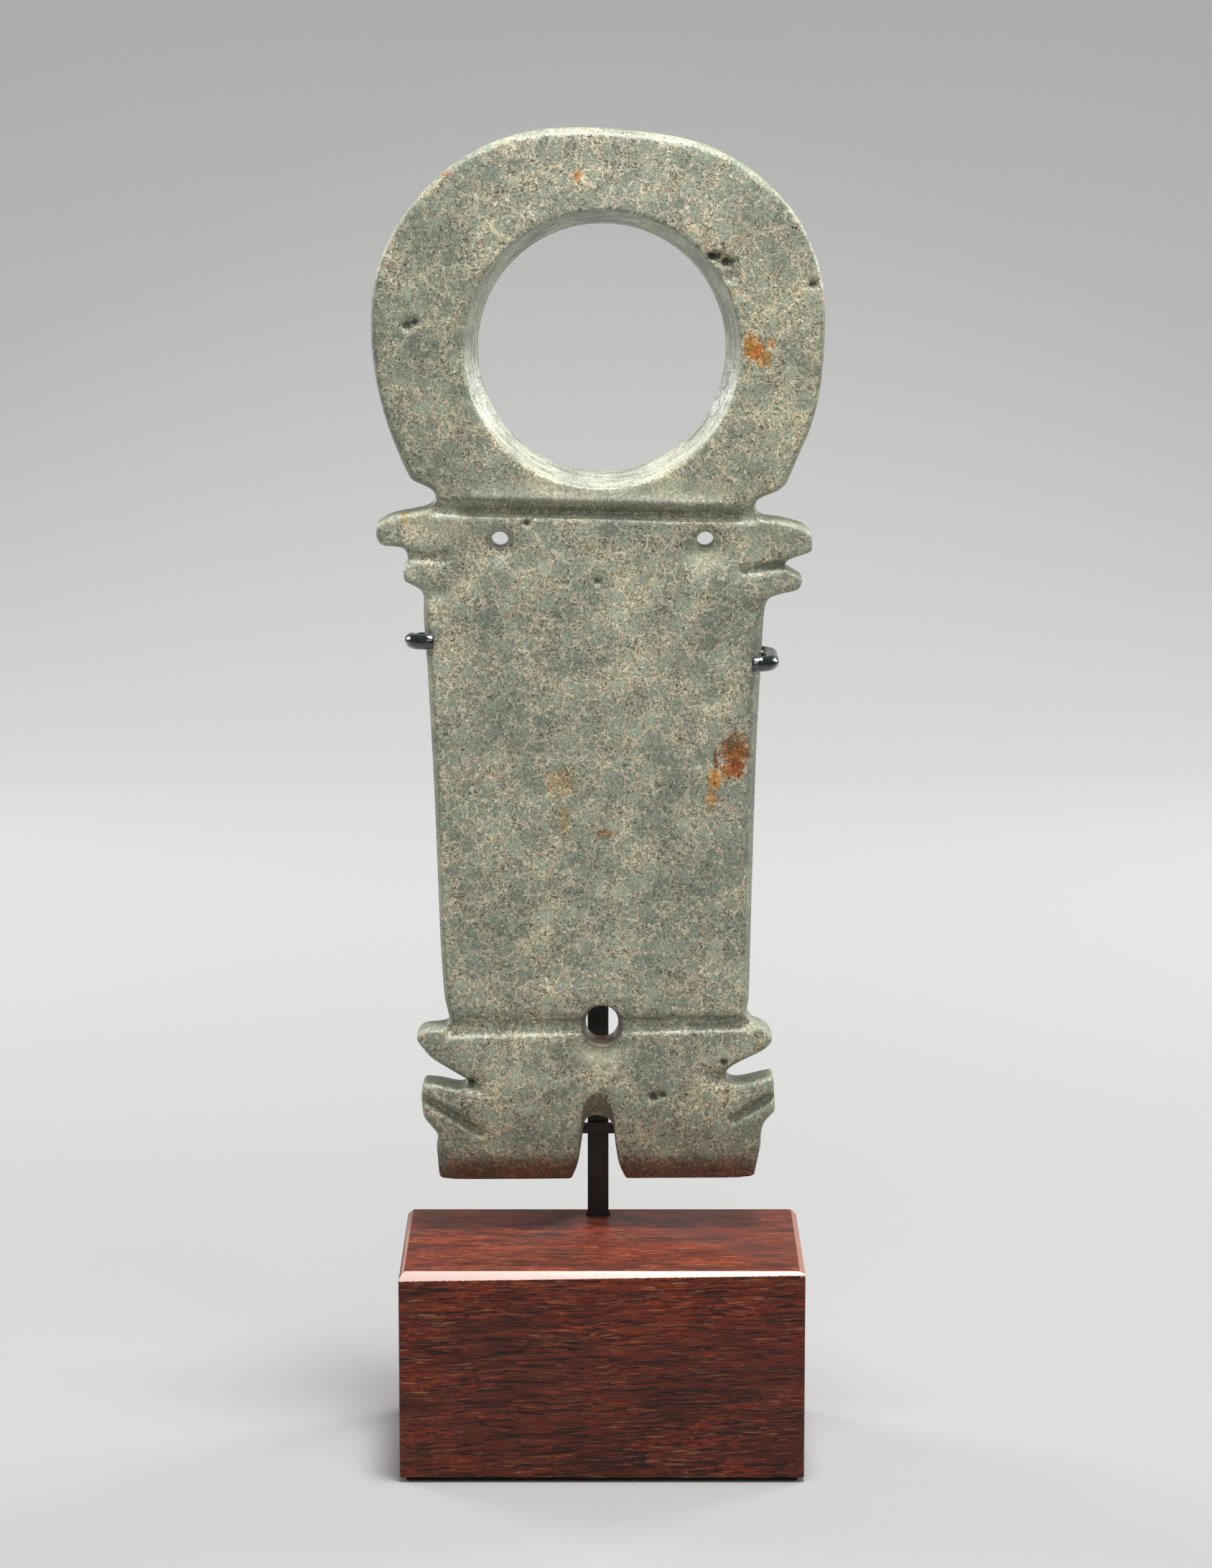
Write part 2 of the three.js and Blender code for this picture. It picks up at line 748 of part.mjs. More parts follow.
// A round wire or sleeve along part of a path, between two distances from its ends
function sweptGeometry({ path, skipStart, skipEnd, outer, inner }) {
  const length = path.getLength();
  const samples = [];
  for (let step = 0; step <= wireSteps; step += 1) {
    const along = THREE.MathUtils.lerp(skipStart, length - skipEnd, step / wireSteps);
    samples.push(path.getPointAt(along / length));
  }
  const section = new THREE.Shape();
  section.absarc(0, 0, outer * half, 0, Math.PI + Math.PI);
  if (inner > 0) {
    const bore = new THREE.Path();
    bore.absarc(0, 0, inner * half, 0, Math.PI + Math.PI, true);
    section.holes.push(bore);
  }
  return new THREE.ExtrudeGeometry(section, {
    steps: wireSteps,
    curveSegments: wireSides,
    extrudePath: new THREE.CatmullRomCurve3(samples),
  });
}

const rightProngRoute = {
  side: 1,
  level: rightProngLevel,
  gap: rightProngGap,
  tipReach: rightTipReach,
  tipLift: -rightTipDrop,
};
const leftProngRoute = {
  side: -1,
  level: leftProngLevel,
  gap: leftProngGap,
  tipReach: leftTipReach,
  tipLift: leftTipLift,
};

function prongWire(route) {
  return sweptGeometry({
    path: prongPath(route),
    skipStart: 0,
    skipEnd: wireRecess,
    outer: wireDiameter,
    inner: 0,
  });
}

function prongSleeve(route) {
  return sweptGeometry({
    path: prongPath(route),
    skipStart: postWidth + prongOverhang + sleeveStart,
    skipEnd: 0,
    outer: sleeveDiameter,
    inner: sleeveDiameter - sleeveWall - sleeveWall,
  });
}

function lowerCrossbar() {
  return stripGeometry({
    length: barLength,
    height: barHeight,
    thickness: barThickness,
    radius: postEdgeRound,
  });
}

function barPad() {
  return stripGeometry({
    length: barPadLength,
    height: padHeight,
    thickness: padThickness,
    radius: padRound,
  });
}

// The pad on the post fills what the bar's thickness leaves open
function postPad() {
  return stripGeometry({
    length: postWidth,
    height: postPadLength,
    thickness: postFront - plateBack - seatGap - seatGap,
    radius: padRound,
  });
}

const jade = new THREE.MeshStandardMaterial({ color: 0x9aa392, roughness: 0.42, metalness: 0 });
const wood = new THREE.MeshStandardMaterial({ color: 0x5c2417, roughness: 0.45, metalness: 0 });
const steel = new THREE.MeshStandardMaterial({ color: 0x1f1c1a, roughness: 0.5, metalness: 0.8 });
const brass = new THREE.MeshStandardMaterial({ color: 0xb08d4a, roughness: 0.4, metalness: 1 });
const tubing = new THREE.MeshStandardMaterial({ color: 0x14201c, roughness: 0.2, metalness: 0 });
const felt = new THREE.MeshStandardMaterial({ color: 0x1c1f1e, roughness: 0.95, metalness: 0 });

function named(name, geometry, material) {
  const mesh = new THREE.Mesh(geometry, material);
  mesh.name = name;
  return mesh;
}

const stone = new THREE.Group();
stone.add(named("jade_pendant", jadePendant(), jade));

const armature = new THREE.Group();
const post = named("mount_post", mountPost(), steel);
post.position.set(postOffset, postMiddle, 0);
const bar = named("lower_crossbar", lowerCrossbar(), steel);
bar.position.set(postOffset, (barFront + barBack) * half, barLevel);
armature.add(post, bar);
armature.add(named("left_prong", prongWire(leftProngRoute), steel));
armature.add(named("right_prong", prongWire(rightProngRoute), steel));
armature.add(named("left_prong_sleeve", prongSleeve(leftProngRoute), tubing));
armature.add(named("right_prong_sleeve", prongSleeve(rightProngRoute), tubing));
const padDepth = barFront - seatGap - padThickness * half;
const padSpread = (barLength - barPadLength) * half;
for (const [name, side] of [
  ["left_crossbar_pad", -1],
  ["right_crossbar_pad", 1],
]) {
  const pad = named(name, barPad(), felt);
  pad.position.set(postOffset + side * padSpread, padDepth, barLevel);
  armature.add(pad);
}
const upperPad = named("post_pad", postPad(), felt);
upperPad.position.set(postOffset, (postFront + plateBack) * half, rightProngLevel);
armature.add(upperPad);

const base = new THREE.Group();
base.add(named("wood_base", woodBase(), wood));
base.add(named("post_socket", postSocket(), brass));
base.add(named("base_felt", baseFelt(), felt));

const group = new THREE.Group();
group.add(stone, armature, base);

export default group;
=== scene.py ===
import math

import bpy
import numpy as np
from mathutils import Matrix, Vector, noise


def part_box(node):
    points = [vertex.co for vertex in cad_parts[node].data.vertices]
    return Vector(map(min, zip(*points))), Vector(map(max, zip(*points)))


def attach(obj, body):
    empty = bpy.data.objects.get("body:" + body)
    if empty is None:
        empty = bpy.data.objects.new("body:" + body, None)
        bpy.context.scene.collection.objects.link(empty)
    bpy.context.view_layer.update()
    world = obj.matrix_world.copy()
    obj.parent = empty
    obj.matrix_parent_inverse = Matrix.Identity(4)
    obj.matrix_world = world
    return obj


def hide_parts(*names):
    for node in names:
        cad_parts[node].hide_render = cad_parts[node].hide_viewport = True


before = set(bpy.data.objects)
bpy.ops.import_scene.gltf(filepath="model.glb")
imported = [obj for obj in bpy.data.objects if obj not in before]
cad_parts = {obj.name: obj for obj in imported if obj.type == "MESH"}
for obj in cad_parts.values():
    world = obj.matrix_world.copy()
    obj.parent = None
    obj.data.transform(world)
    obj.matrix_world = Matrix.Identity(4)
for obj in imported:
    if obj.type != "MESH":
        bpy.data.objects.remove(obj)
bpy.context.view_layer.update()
print("frame loaded:", sorted(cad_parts))

mm = 0.001
bpy.context.scene.view_settings.view_transform = "Standard"

# Camera as the photograph's, level to the side and looking slightly down
cameraSetup = {
    "place": (0.9 * mm, -1042 * mm, 331.2 * mm),
    "downward": 9.8,
    "focalPixels": 6685,
    "framePixelsHigh": 2184,
    "sensorHeight": 36,
    "clipStart": 0.01,
}


def makeCamera(setup):
    data = bpy.data.cameras.new("camera")
    data.sensor_fit = "VERTICAL"
    data.sensor_height = setup["sensorHeight"]
    data.lens = setup["focalPixels"] / setup["framePixelsHigh"] * setup["sensorHeight"]
    data.clip_start = setup["clipStart"]
    camera = bpy.data.objects.new("camera", data)
    camera.location = setup["place"]
    camera.rotation_euler = (math.radians(90 - setup["downward"]), 0, 0)
    bpy.context.scene.collection.objects.link(camera)
    bpy.context.scene.camera = camera


makeCamera(cameraSetup)
print("camera set")


# Shader maths: a value in a material's tree that can be added, multiplied and compared
class Flow:
    def __init__(self, surface, socket):
        self.surface = surface
        self.socket = socket

    def math(self, operation, *values):
        return self.surface.node("ShaderNodeMath", {"operation": operation}, list(values))

    def __add__(self, other):
        return self.math("ADD", self, other)

    def __radd__(self, other):
        return self.math("ADD", other, self)

    def __sub__(self, other):
        return self.math("SUBTRACT", self, other)

    def __rsub__(self, other):
        return self.math("SUBTRACT", other, self)

    def __mul__(self, other):
        return self.math("MULTIPLY", self, other)

    def __rmul__(self, other):
        return self.math("MULTIPLY", other, self)

    def __truediv__(self, other):
        return self.math("DIVIDE", self, other)

    def most(self, other):
        return self.math("MAXIMUM", self, other)

    def size(self):
        return self.math("ABSOLUTE", self)

    # 0 below low, 1 above high, smooth between
    def between(self, low, high):
        settings = {"interpolation_type": "SMOOTHSTEP"}
        sockets = {"Value": self, "From Min": low, "From Max": high}
        return self.surface.node("ShaderNodeMapRange", settings, sockets)


# A material with one Principled shader, whose plain values are set on its own sockets
class Surface:
    def __init__(self, name, plain):
        self.material = bpy.data.materials.new(name)
        self.material.use_nodes = True
        self.tree = self.material.node_tree
        self.tree.nodes.clear()
        self.shader = self.tree.nodes.new("ShaderNodeBsdfPrincipled")
        output = self.tree.nodes.new("ShaderNodeOutputMaterial")
        self.tree.links.new(self.shader.outputs[0], output.inputs["Surface"])
        self.feed(self.shader, plain)

    def feed(self, node, sockets):
        pairs = sockets.items() if isinstance(sockets, dict) else enumerate(sockets)
        for key, value in pairs:
            if isinstance(value, Flow):
                self.tree.links.new(value.socket, node.inputs[key])
            else:
                node.inputs[key].default_value = value

    def node(self, kind, settings, sockets, output=0):
        node = self.tree.nodes.new(kind)
        for key, value in settings.items():
            setattr(node, key, value)
        self.feed(node, sockets)
        return Flow(self, node.outputs[output])

    # Object coordinates in millimetres, stretched
    def place(self, stretch=(1, 1, 1)):
        coords = self.node("ShaderNodeTexCoord", {}, {}, "Object")
        scale = tuple(share / mm for share in stretch)
        return self.node("ShaderNodeMapping", {}, {"Vector": coords, "Scale": scale})

    def vector(self, operation, *values, output=0):
        return self.node("ShaderNodeVectorMath", {"operation": operation}, list(values), output)

    # One of the three numbers of a vector: 0 across, 1 in depth, 2 upwards
    def axis(self, vector, number):
        return self.node("ShaderNodeSeparateXYZ", {}, [vector], number)

    def noise(self, vector, scale, detail, roughness, distortion=0, output="Fac"):
        sockets = {
            "Vector": vector,
            "Scale": scale,
            "Detail": detail,
            "Roughness": roughness,
            "Distortion": distortion,
        }
        settings = {"noise_type": "FBM", "normalize": True}
        return self.node("ShaderNodeTexNoise", settings, sockets, output)

    def cells(self, vector, scale, feature="F1", output="Distance"):
        sockets = {"Vector": vector, "Scale": scale}
        return self.node("ShaderNodeTexVoronoi", {"feature": feature}, sockets, output)

    # Pulls a place about by noises of a scale and an amount, so that patterns lose their straight edges
    def warped(self, vector, *warps):
        for scale, amount in warps:
            wobble = self.noise(vector, scale, 2, 0.5, output="Color")
            centred = self.vector("SUBTRACT", wobble, (0.5, 0.5, 0.5))
            sockets = {0: centred, "Scale": amount}
            moved = self.node("ShaderNodeVectorMath", {"operation": "SCALE"}, sockets)
            vector = self.vector("ADD", vector, moved)
        return vector

    # First colour where the mask is 0, second where it is 1
    def mix(self, mask, first, second):
        sockets = {0: mask, 6: colour4(first), 7: colour4(second)}
        return self.node("ShaderNodeMix", {"data_type": "RGBA"}, sockets, 2)

    # Multiplies a colour by a tone that goes from dark to light with the mask
    def toned(self, colour, mask, dark, light):
        return self.vector("MULTIPLY", colour, self.mix(mask, dark, light))

    def bump(self, height, strength, depth):
        sockets = {"Height": height, "Strength": strength, "Distance": depth * mm}
        return self.node("ShaderNodeBump", {}, sockets)

    def finish(self, **sockets):
        names = {
            "colour": "Base Color",
            "roughness": "Roughness",
            "coat": "Coat Weight",
            "normal": "Normal",
        }
        self.feed(self.shader, {names[key]: value for key, value in sockets.items()})
        return self.material


def colour4(value):
    if isinstance(value, Flow):
        return value
    return (*value, 1)


# A colour as eight-bit screen values, turned to the linear values that shaders take
def screen(red, green, blue):
    def linear(value):
        share = value / 255
        return share / 12.92 if share <= 0.04045 else ((share + 0.055) / 1.055) ** 2.4

    return tuple(linear(value) for value in (red, green, blue))


def screens(colours):
    return {name: screen(*value) for name, value in colours.items()}


# Soft spot round a place in millimetres, 1 inside and 0 outside, with a ragged edge
def spot(surface, place, centre, size, softness, ragged=None):
    offset = surface.vector("SUBTRACT", place, centre)
    scaled = surface.vector("DIVIDE", offset, size)
    length = surface.vector("LENGTH", scaled, output="Value")
    if ragged is not None:
        length = length + ragged
    return 1 - length.between(1 - softness, 1 + softness)


# Selects one object alone and makes it the active one
def pick(piece):
    bpy.ops.object.select_all(action="DESELECT")
    piece.select_set(True)
    bpy.context.view_layer.objects.active = piece


def modifier(piece, kind, settings):
    pick(piece)
    added = piece.modifiers.new(kind.lower(), kind)
    for key, value in settings.items():
        setattr(added, key, value)
    bpy.ops.object.modifier_apply(modifier=added.name)


# A copy of a CAD node's loose triangles, with its doubled points merged
def copyOfNode(node, name):
    piece = bpy.data.objects.new(name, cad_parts[node].data.copy())
    bpy.context.scene.collection.objects.link(piece)
    piece.data.materials.clear()
    pick(piece)
    bpy.ops.object.mode_set(mode="EDIT")
    bpy.ops.mesh.select_all(action="SELECT")
    bpy.ops.mesh.remove_doubles(threshold=0.001 * mm)
    bpy.ops.object.mode_set(mode="OBJECT")
    return piece


def bodied(piece, body, node):
    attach(piece, body)
    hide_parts(node)


# Places in millimetres and normals of all points of a piece, read at once
def pointsOf(piece):
    count = len(piece.data.vertices)
    places = np.empty(count * 3)
    normals = np.empty(count * 3)
    piece.data.vertices.foreach_get("co", places)
    piece.data.vertices.foreach_get("normal", normals)
    return places.reshape(-1, 3) / mm, normals.reshape(-1, 3)


def setPoints(piece, places):
    piece.data.vertices.foreach_set("co", (places * mm).ravel())
    piece.data.update()


def smoothFaces(piece):
    piece.data.polygons.foreach_set("use_smooth", [True] * len(piece.data.polygons))


# Shape of the stone. Places are (across, height above its foot) in millimetres, as the face is seen
stonePlan = {
    "voxel": 0.34,
    "smoothing": 7,
    "triangles": 190000,
    "setBack": 0.15,
    "soleBand": 5.0,
    "soleSet": 1.2,
    "soleDrop": 0.9,
    "backShare": 0.7,
    "topLean": {"from": 168.0, "to": 234.0, "depth": 1.3},
    "footLean": {"from": 26.0, "to": 0.0, "depth": 1.0},
    "flares": [
        {"at": (-22.5, 142.8), "radius": (3.6, 3.6), "depth": 1.3},
        {"at": (22.8, 142.8), "radius": (3.6, 3.6), "depth": 1.3},
        {"at": (21.5, 140.0), "radius": (2.6, 3.4), "depth": 0.5},
        {"at": (0.0, 32.0), "radius": (5.6, 5.6), "depth": 1.5},
    ],
    "grooves": [
        {"from": (-31.0, 151.2), "to": (29.4, 149.8), "depth": 0.75, "width": 1.0},
        {"from": (-28.0, 154.0), "to": (27.0, 152.4), "depth": -0.45, "width": 1.5},
        {"from": (-30.2, 36.6), "to": (28.4, 36.2), "depth": 0.7, "width": 1.2},
    ],
    "valleys": [
        {"from": (40.5, 139.0), "to": (31.5, 137.8), "depth": 1.0, "width": 0.9},
        {"from": (36.4, 129.6), "to": (33.0, 128.6), "depth": 0.5, "width": 1.4},
        {"from": (-42.0, 141.0), "to": (-35.0, 140.6), "depth": 0.7, "width": 1.1},
        {"from": (-41.0, 132.4), "to": (-35.8, 132.9), "depth": 0.6, "width": 1.4},
        {"from": (-40.4, 18.9), "to": (-27.6, 10.8), "depth": 1.5, "width": 0.9},
        {"from": (39.6, 19.6), "to": (29.6, 13.8), "depth": 1.4, "width": 0.9},
        {"from": (-33.4, 23.4), "to": (-28.2, 22.0), "depth": 1.2, "width": 1.7},
        {"from": (31.6, 23.6), "to": (25.4, 23.4), "depth": 1.1, "width": 1.7},
    ],
    "chips": [
        {"at": (24.6, 206.8), "radius": (1.8, 0.8), "depth": 2.6},
        {"at": (27.2, 205.6), "radius": (1.5, 0.9), "depth": 2.2},
        {"at": (27.8, 202.6), "radius": (1.5, 1.8), "depth": 1.0},
    ],
    "darkChips": 2,
    "pits": [
        {"at": (-42.5, 191.8), "radius": (1.0, 1.0), "depth": 1.3},
        {"at": (-40.9, 192.4), "radius": (0.7, 0.7), "depth": 1.0},
        {"at": (46.0, 200.6), "radius": (0.8, 0.8), "depth": 1.3},
        {"at": (-16.6, 148.5), "radius": (0.7, 0.7), "depth": 1.2},
        {"at": (-1.0, 135.5), "radius": (0.7, 0.7), "depth": 0.9},
        {"at": (11.6, 19.0), "radius": (1.0, 1.0), "depth": 1.3},
        {"at": (13.6, 19.4), "radius": (0.7, 0.7), "depth": 0.9},
        {"at": (27.3, 26.9), "radius": (0.8, 0.8), "depth": 1.0},
        {"at": (-29.2, 22.1), "radius": (0.9, 0.9), "depth": 1.1},
    ],
}


# Bell-shaped dent: 1 at its middle, falling over the two radii
def bell(x, z, at, radius):
    return np.exp(-(((x - at[0]) / radius[0]) ** 2) - ((z - at[1]) / radius[1]) ** 2)


# Groove along a straight line with rounded ends: 1 on the line, falling over its width
def furrow(x, z, line):
    start, end = np.array(line["from"]), np.array(line["to"])
    run = end - start
    along = ((x - start[0]) * run[0] + (z - start[1]) * run[1]) / (run @ run)
    nearX = start[0] + np.clip(along, 0, 1) * run[0]
    nearZ = start[1] + np.clip(along, 0, 1) * run[1]
    return np.exp(-(((x - nearX) ** 2 + (z - nearZ) ** 2) / line["width"] ** 2))


# Hand-worked face: flares round the holes, saw grooves, jaw lines, chips, pits and the worn sole
def sculptStone(piece, plan):
    places, normals = pointsOf(piece)
    lowCorner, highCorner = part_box("jade_pendant")
    foot, low, high = lowCorner.z / mm, lowCorner.y / mm, highCorner.y / mm
    middle = (low + high) / 2
    x, y, z = places.T.copy()
    z -= foot
    front = y < middle
    facing = np.clip(-normals[:, 1], 0, 1)
    depth = np.zeros(len(places))
    for flare in plan["flares"]:
        depth += flare["depth"] * bell(x, z, flare["at"], flare["radius"])
    for line in plan["grooves"] + plan["valleys"]:
        depth += line["depth"] * furrow(x, z, line)
    # Chips are broken unevenly, by about a third of their depth
    rough = 1 + 0.35 * np.sin(3.1 * x + 1.7 * z) * np.cos(2.3 * z - 1.1 * x)
    for chip in plan["chips"]:
        depth += chip["depth"] * rough * bell(x, z, chip["at"], chip["radius"])
    for pit in plan["pits"]:
        depth += pit["depth"] * bell(x, z, pit["at"], pit["radius"])
    # Gentle waves that grinding leaves, 0.22 mm at most
    waves = (
        0.10 * np.sin(x / 9.0 + 0.8) * np.cos(z / 13.0)
        + 0.07 * np.sin(x / 5.3 + z / 7.1)
        + 0.05 * np.cos(z / 4.1 - x / 6.7)
    )
    y += np.where(front, (depth + waves + plan["setBack"]) * facing, 0)
    y -= np.where(front, 0, (waves + plan["setBack"]) * np.clip(normals[:, 1], 0, 1))
    for lean in (plan["topLean"], plan["footLean"]):
        share = np.clip((z - lean["from"]) / (lean["to"] - lean["from"]), 0, 1)
        y += lean["depth"] * share**2 * np.clip((middle - y) / (middle - low), 0, 1)
    sole = np.clip(1 - z / plan["soleBand"], 0, 1)
    inset = plan["soleSet"] * sole**1.3
    frontInset = inset * (middle - y) / (middle - low)
    backInset = -plan["backShare"] * inset * (y - middle) / (high - middle)
    y += np.where(front, frontInset, backInset)
    places[:, 1] = y
    places[:, 2] -= plan["soleDrop"] * sole**0.6
    setPoints(piece, places)


# Finish of the stone. Warps are (scale, amount), noises (scale, detail, roughness) and tangles (scale,
# width, shift), with scales per millimetre. Edges are the two values between which a mask fades. Colours are
# screen values, shares say how much of a layer covers the one below, and tones multiply the colour
jadeLook = {
    "shader": {"IOR": 1.6, "Specular IOR Level": 0.5},
    "softWarps": [(0.35, 2.2), (1.2, 1.1), (3.0, 0.28)],
    "curlWarps": [(0.9, 1.4), (2.4, 0.5)],
    "grain": {"scale": 0.26, "vein": 0.05},
    "crystal": {"scale": 0.62, "vein": 0.08, "shift": (40, 17, 9)},
    "threads": [(0.55, 0.03, 3), (0.95, 0.04, 11), (1.5, 0.05, 23)],
    "stria": (1.7, 0.06, 51),
    "noises": {
        "cloud": (0.7, 3, 0.6),
        "grit": (1.7, 4, 0.7),
        "sugar": (3.6, 2, 0.6),
        "patch": (0.11, 4, 0.6),
        "broad": (0.05, 3, 0.6),
        "torn": (0.9, 3, 0.7),
        "warm": (0.55, 4, 0.7),
        "paintedGlint": (1.1, 3, 0.7),
        "brown": (0.8, 4, 0.75),
        "ragged": (0.9, 4, 0.75),
        "fleck": (0.07, 2, 0.5),
        "drilled": (1.0, 4, 0.7),
    },
    "edges": {
        "grainChance": (0.02, 0.3),
        "grainCloud": (0.27, 0.45),
        "sugar": (0.35, 0.6),
        "torn": (0.4, 0.54),
        "warm": (0.52, 0.64),
        "warmPatch": (0.4, 0.6),
        "hollowShade": (0.38, 0.48),
        "paintedGlint": (0.56, 0.64),
        "brown": (0.62, 0.7),
        "brownPatch": (0.45, 0.62),
        "slope": (0.62, 0.93),
        "fleck": (0.52, 0.64),
        "fleckSize": (0.1, 0.2),
        "drilled": (0.3, 0.7),
        "soilAndWoodBounce": (1.2, 6.6),
        "gritTone": (0.3, 0.7),
        "patchTone": (0.34, 0.66),
        "broadTone": (0.3, 0.7),
    },
    "colours": {
        "grainDark": (82, 99, 85),
        "grainLight": (144, 157, 137),
        "groundDark": (70, 72, 55),
        "groundLight": (122, 121, 98),
        "fibrePale": (224, 216, 188),
        "fibreWarm": (188, 150, 104),
        # Near-black painted shade of the small hollows
        "hollowShade": (42, 38, 26),
        "stria": (184, 192, 174),
        # Painted glint along the fibres
        "paintedGlint": (238, 234, 220),
        "brown": (140, 92, 52),
        # Painted shade of steep faces
        "slopeShadeDark": (98, 108, 88),
        "slopeShadeLight": (142, 149, 126),
        # Painted sheen of the listed places
        "sheenDark": (142, 145, 123),
        "sheenLight": (174, 175, 152),
        "fleck": (28, 25, 20),
        "pitDark": (40, 36, 28),
    },
    "shares": {
        "grain": 0.9,
        "fineVein": 0.6,
        "vein": 0.9,
        "hollowShade": 0.85,
        "stria": 0.4,
        "paintedGlint": 0.8,
        "brown": 0.45,
        "slope": 0.55,
        "fleck": 0.9,
        "pitDark": 0.8,
        "hole": 0.75,
    },
    "tones": {
        "cloud": ((0.8, 0.8, 0.78), (1.2, 1.2, 1.22)),
        # Soil and painted reflection of the red wood at the sole
        "soilAndWoodBounce": ((1, 1, 1), (0.64, 0.39, 0.32)),
        "grit": ((0.7, 0.7, 0.68), (1.24, 1.24, 1.24)),
        "patch": ((0.77, 0.79, 0.81), (1.25, 1.23, 1.2)),
        "broad": ((0.86, 0.87, 0.88), (1.14, 1.13, 1.12)),
    },
    "raggedness": 3.6,
    "fleckScale": 0.8,
    "drillStretch": (0.12, 1.6, 0.12),
    "drillMiddle": 12,
    "drillReach": 40,
    "roughness": 0.28,
    "bump": {"strength": 0.6, "depth": 0.12},
}
# Inside the drilled holes the stone is streaked round the bore, and painted pale as a highlight, near-white
# in the ring's bore
boreStreaksAndHighlights = [
    {"at": (0.0, 186.4), "radius": 30.2, "dark": (112, 117, 104), "light": (204, 206, 193)},
    {"at": (0.0, 35.4), "radius": 4.9, "dark": (84, 70, 62), "light": (164, 146, 132)},
]
# Glazes that tint the stone under them
jadeStains = [
    {"at": (32.6, 187.0), "size": (1.7, 3.0), "glaze": (1.35, 0.66, 0.13), "strength": 1.0},
    {"at": (34.8, 185.2), "size": (1.9, 2.2), "glaze": (1.0, 0.5, 0.14), "strength": 1.0},
    {"at": (37.0, 188.0), "size": (0.8, 0.9), "glaze": (1.3, 0.7, 0.25), "strength": 0.9},
    {"at": (29.6, 97.2), "size": (2.9, 4.0), "glaze": (0.76, 0.28, 0.04), "strength": 1.0},
    {"at": (28.4, 93.4), "size": (2.4, 2.0), "glaze": (0.95, 0.4, 0.09), "strength": 1.0},
    {"at": (25.2, 95.8), "size": (0.6, 2.2), "glaze": (0.35, 0.12, 0.06), "strength": 0.9},
    {"at": (25.0, 91.4), "size": (1.5, 1.8), "glaze": (1.6, 0.72, 0.12), "strength": 0.9},
    {"at": (24.2, 87.2), "size": (1.2, 2.6), "glaze": (1.45, 0.78, 0.24), "strength": 0.8},
    {"at": (-5.2, 224.0), "size": (0.9, 1.3), "glaze": (1.0, 0.4, 0.14), "strength": 0.9},
    {"at": (-33.6, 224.5), "size": (1.5, 0.6), "glaze": (0.9, 0.42, 0.18), "strength": 0.9},
    {"at": (-9.0, 90.5), "size": (3.6, 2.8), "glaze": (1.2, 0.86, 0.44), "strength": 0.6},
    {"at": (-8.2, 82.0), "size": (1.2, 3.2), "glaze": (1.2, 0.82, 0.4), "strength": 0.6},
    {"at": (0.5, 79.0), "size": (2.0, 1.1), "glaze": (0.7, 0.42, 0.2), "strength": 0.8},
    {"at": (-43.4, 149.6), "size": (0.8, 1.8), "glaze": (1.2, 0.7, 0.3), "strength": 0.7},
]
# Painted sheen: a lighter, plainer colour on the neck above the groove and at its ends, beside the right eye
# and under the low hole
paintedSheenZones = [
    {"at": (2.0, 155.6), "size": (30, 3.0), "strength": 0.75},
    {"at": (-33.0, 149.5), "size": (9, 5), "strength": 0.5},
    {"at": (37.0, 147.5), "size": (8, 4), "strength": 0.45},
    {"at": (22.5, 140.5), "size": (3.6, 4.4), "strength": 0.7},
    {"at": (-1.0, 29.0), "size": (5.6, 3.0), "strength": 0.8},
]
# Painted light and shade: the ring darker at its sides and lighter at its top, the feet darker, the lower
# heads lighter, painted shade in the neck groove, and painted highlights under the low hole and the eyes
paintedShadesAndHighlights = [
    {"at": (-40.0, 190.0), "size": (22, 34), "shade": (0.86, 0.87, 0.85)},
    {"at": (40.0, 180.0), "size": (20, 34), "shade": (0.93, 0.93, 0.91)},
    {"at": (0.0, 228.0), "size": (36, 12), "shade": (1.07, 1.07, 1.08)},
    {"at": (0.0, 0.0), "size": (70, 15), "shade": (0.76, 0.74, 0.71)},
    {"at": (0.0, 36.0), "size": (60, 16), "shade": (1.05, 1.05, 1.04)},
    {"at": (-1.0, 150.9), "size": (36, 1.0), "shade": (0.7, 0.7, 0.66)},
    {"at": (-0.3, 28.9), "size": (4.2, 1.7), "shade": (1.28, 1.28, 1.24)},
    {"at": (22.0, 140.2), "size": (3.6, 2.2), "shade": (1.36, 1.36, 1.34)},
    {"at": (-22.8, 141.9), "size": (2.6, 1.5), "shade": (1.3, 1.3, 1.28)},
]
# Clusters of tiny black inclusions
jadeFlecks = [
    {"at": (-3.0, 61.6), "size": (9, 7)},
    {"at": (-35.0, 48.0), "size": (5, 11)},
    {"at": (-41.8, 191.8), "size": (2.4, 1.6)},
    {"at": (-1.0, 135.5), "size": (1.6, 1.6)},
    {"at": (-18.0, 60.0), "size": (5, 4)},
]
# How deep into the stone each kind of mark reaches, in millimetres, and how soft its edge is
markReach = {
    "paintedSheen": {"reach": 9, "softness": 0.3},
    "stain": {"reach": 5, "softness": 0.35},
    "fleck": {"reach": 9, "softness": 0.5},
    "pitDark": {"reach": 6, "softness": 0.5},
    "shade": {"reach": 60, "softness": 0.6},
}


# Grains packed side by side: how far a place lies from the edge of its grain, and a chance for each grain
def grains(surface, place, scale):
    edge = surface.cells(place, scale, "DISTANCE_TO_EDGE")
    chance = surface.node("ShaderNodeSeparateColor", {}, [surface.cells(place, scale, output="Color")])
    return edge, chance


# Veins of a width along the edges of grains
def veined(edge, width):
    return 1 - edge.between(width * 0.25, width)


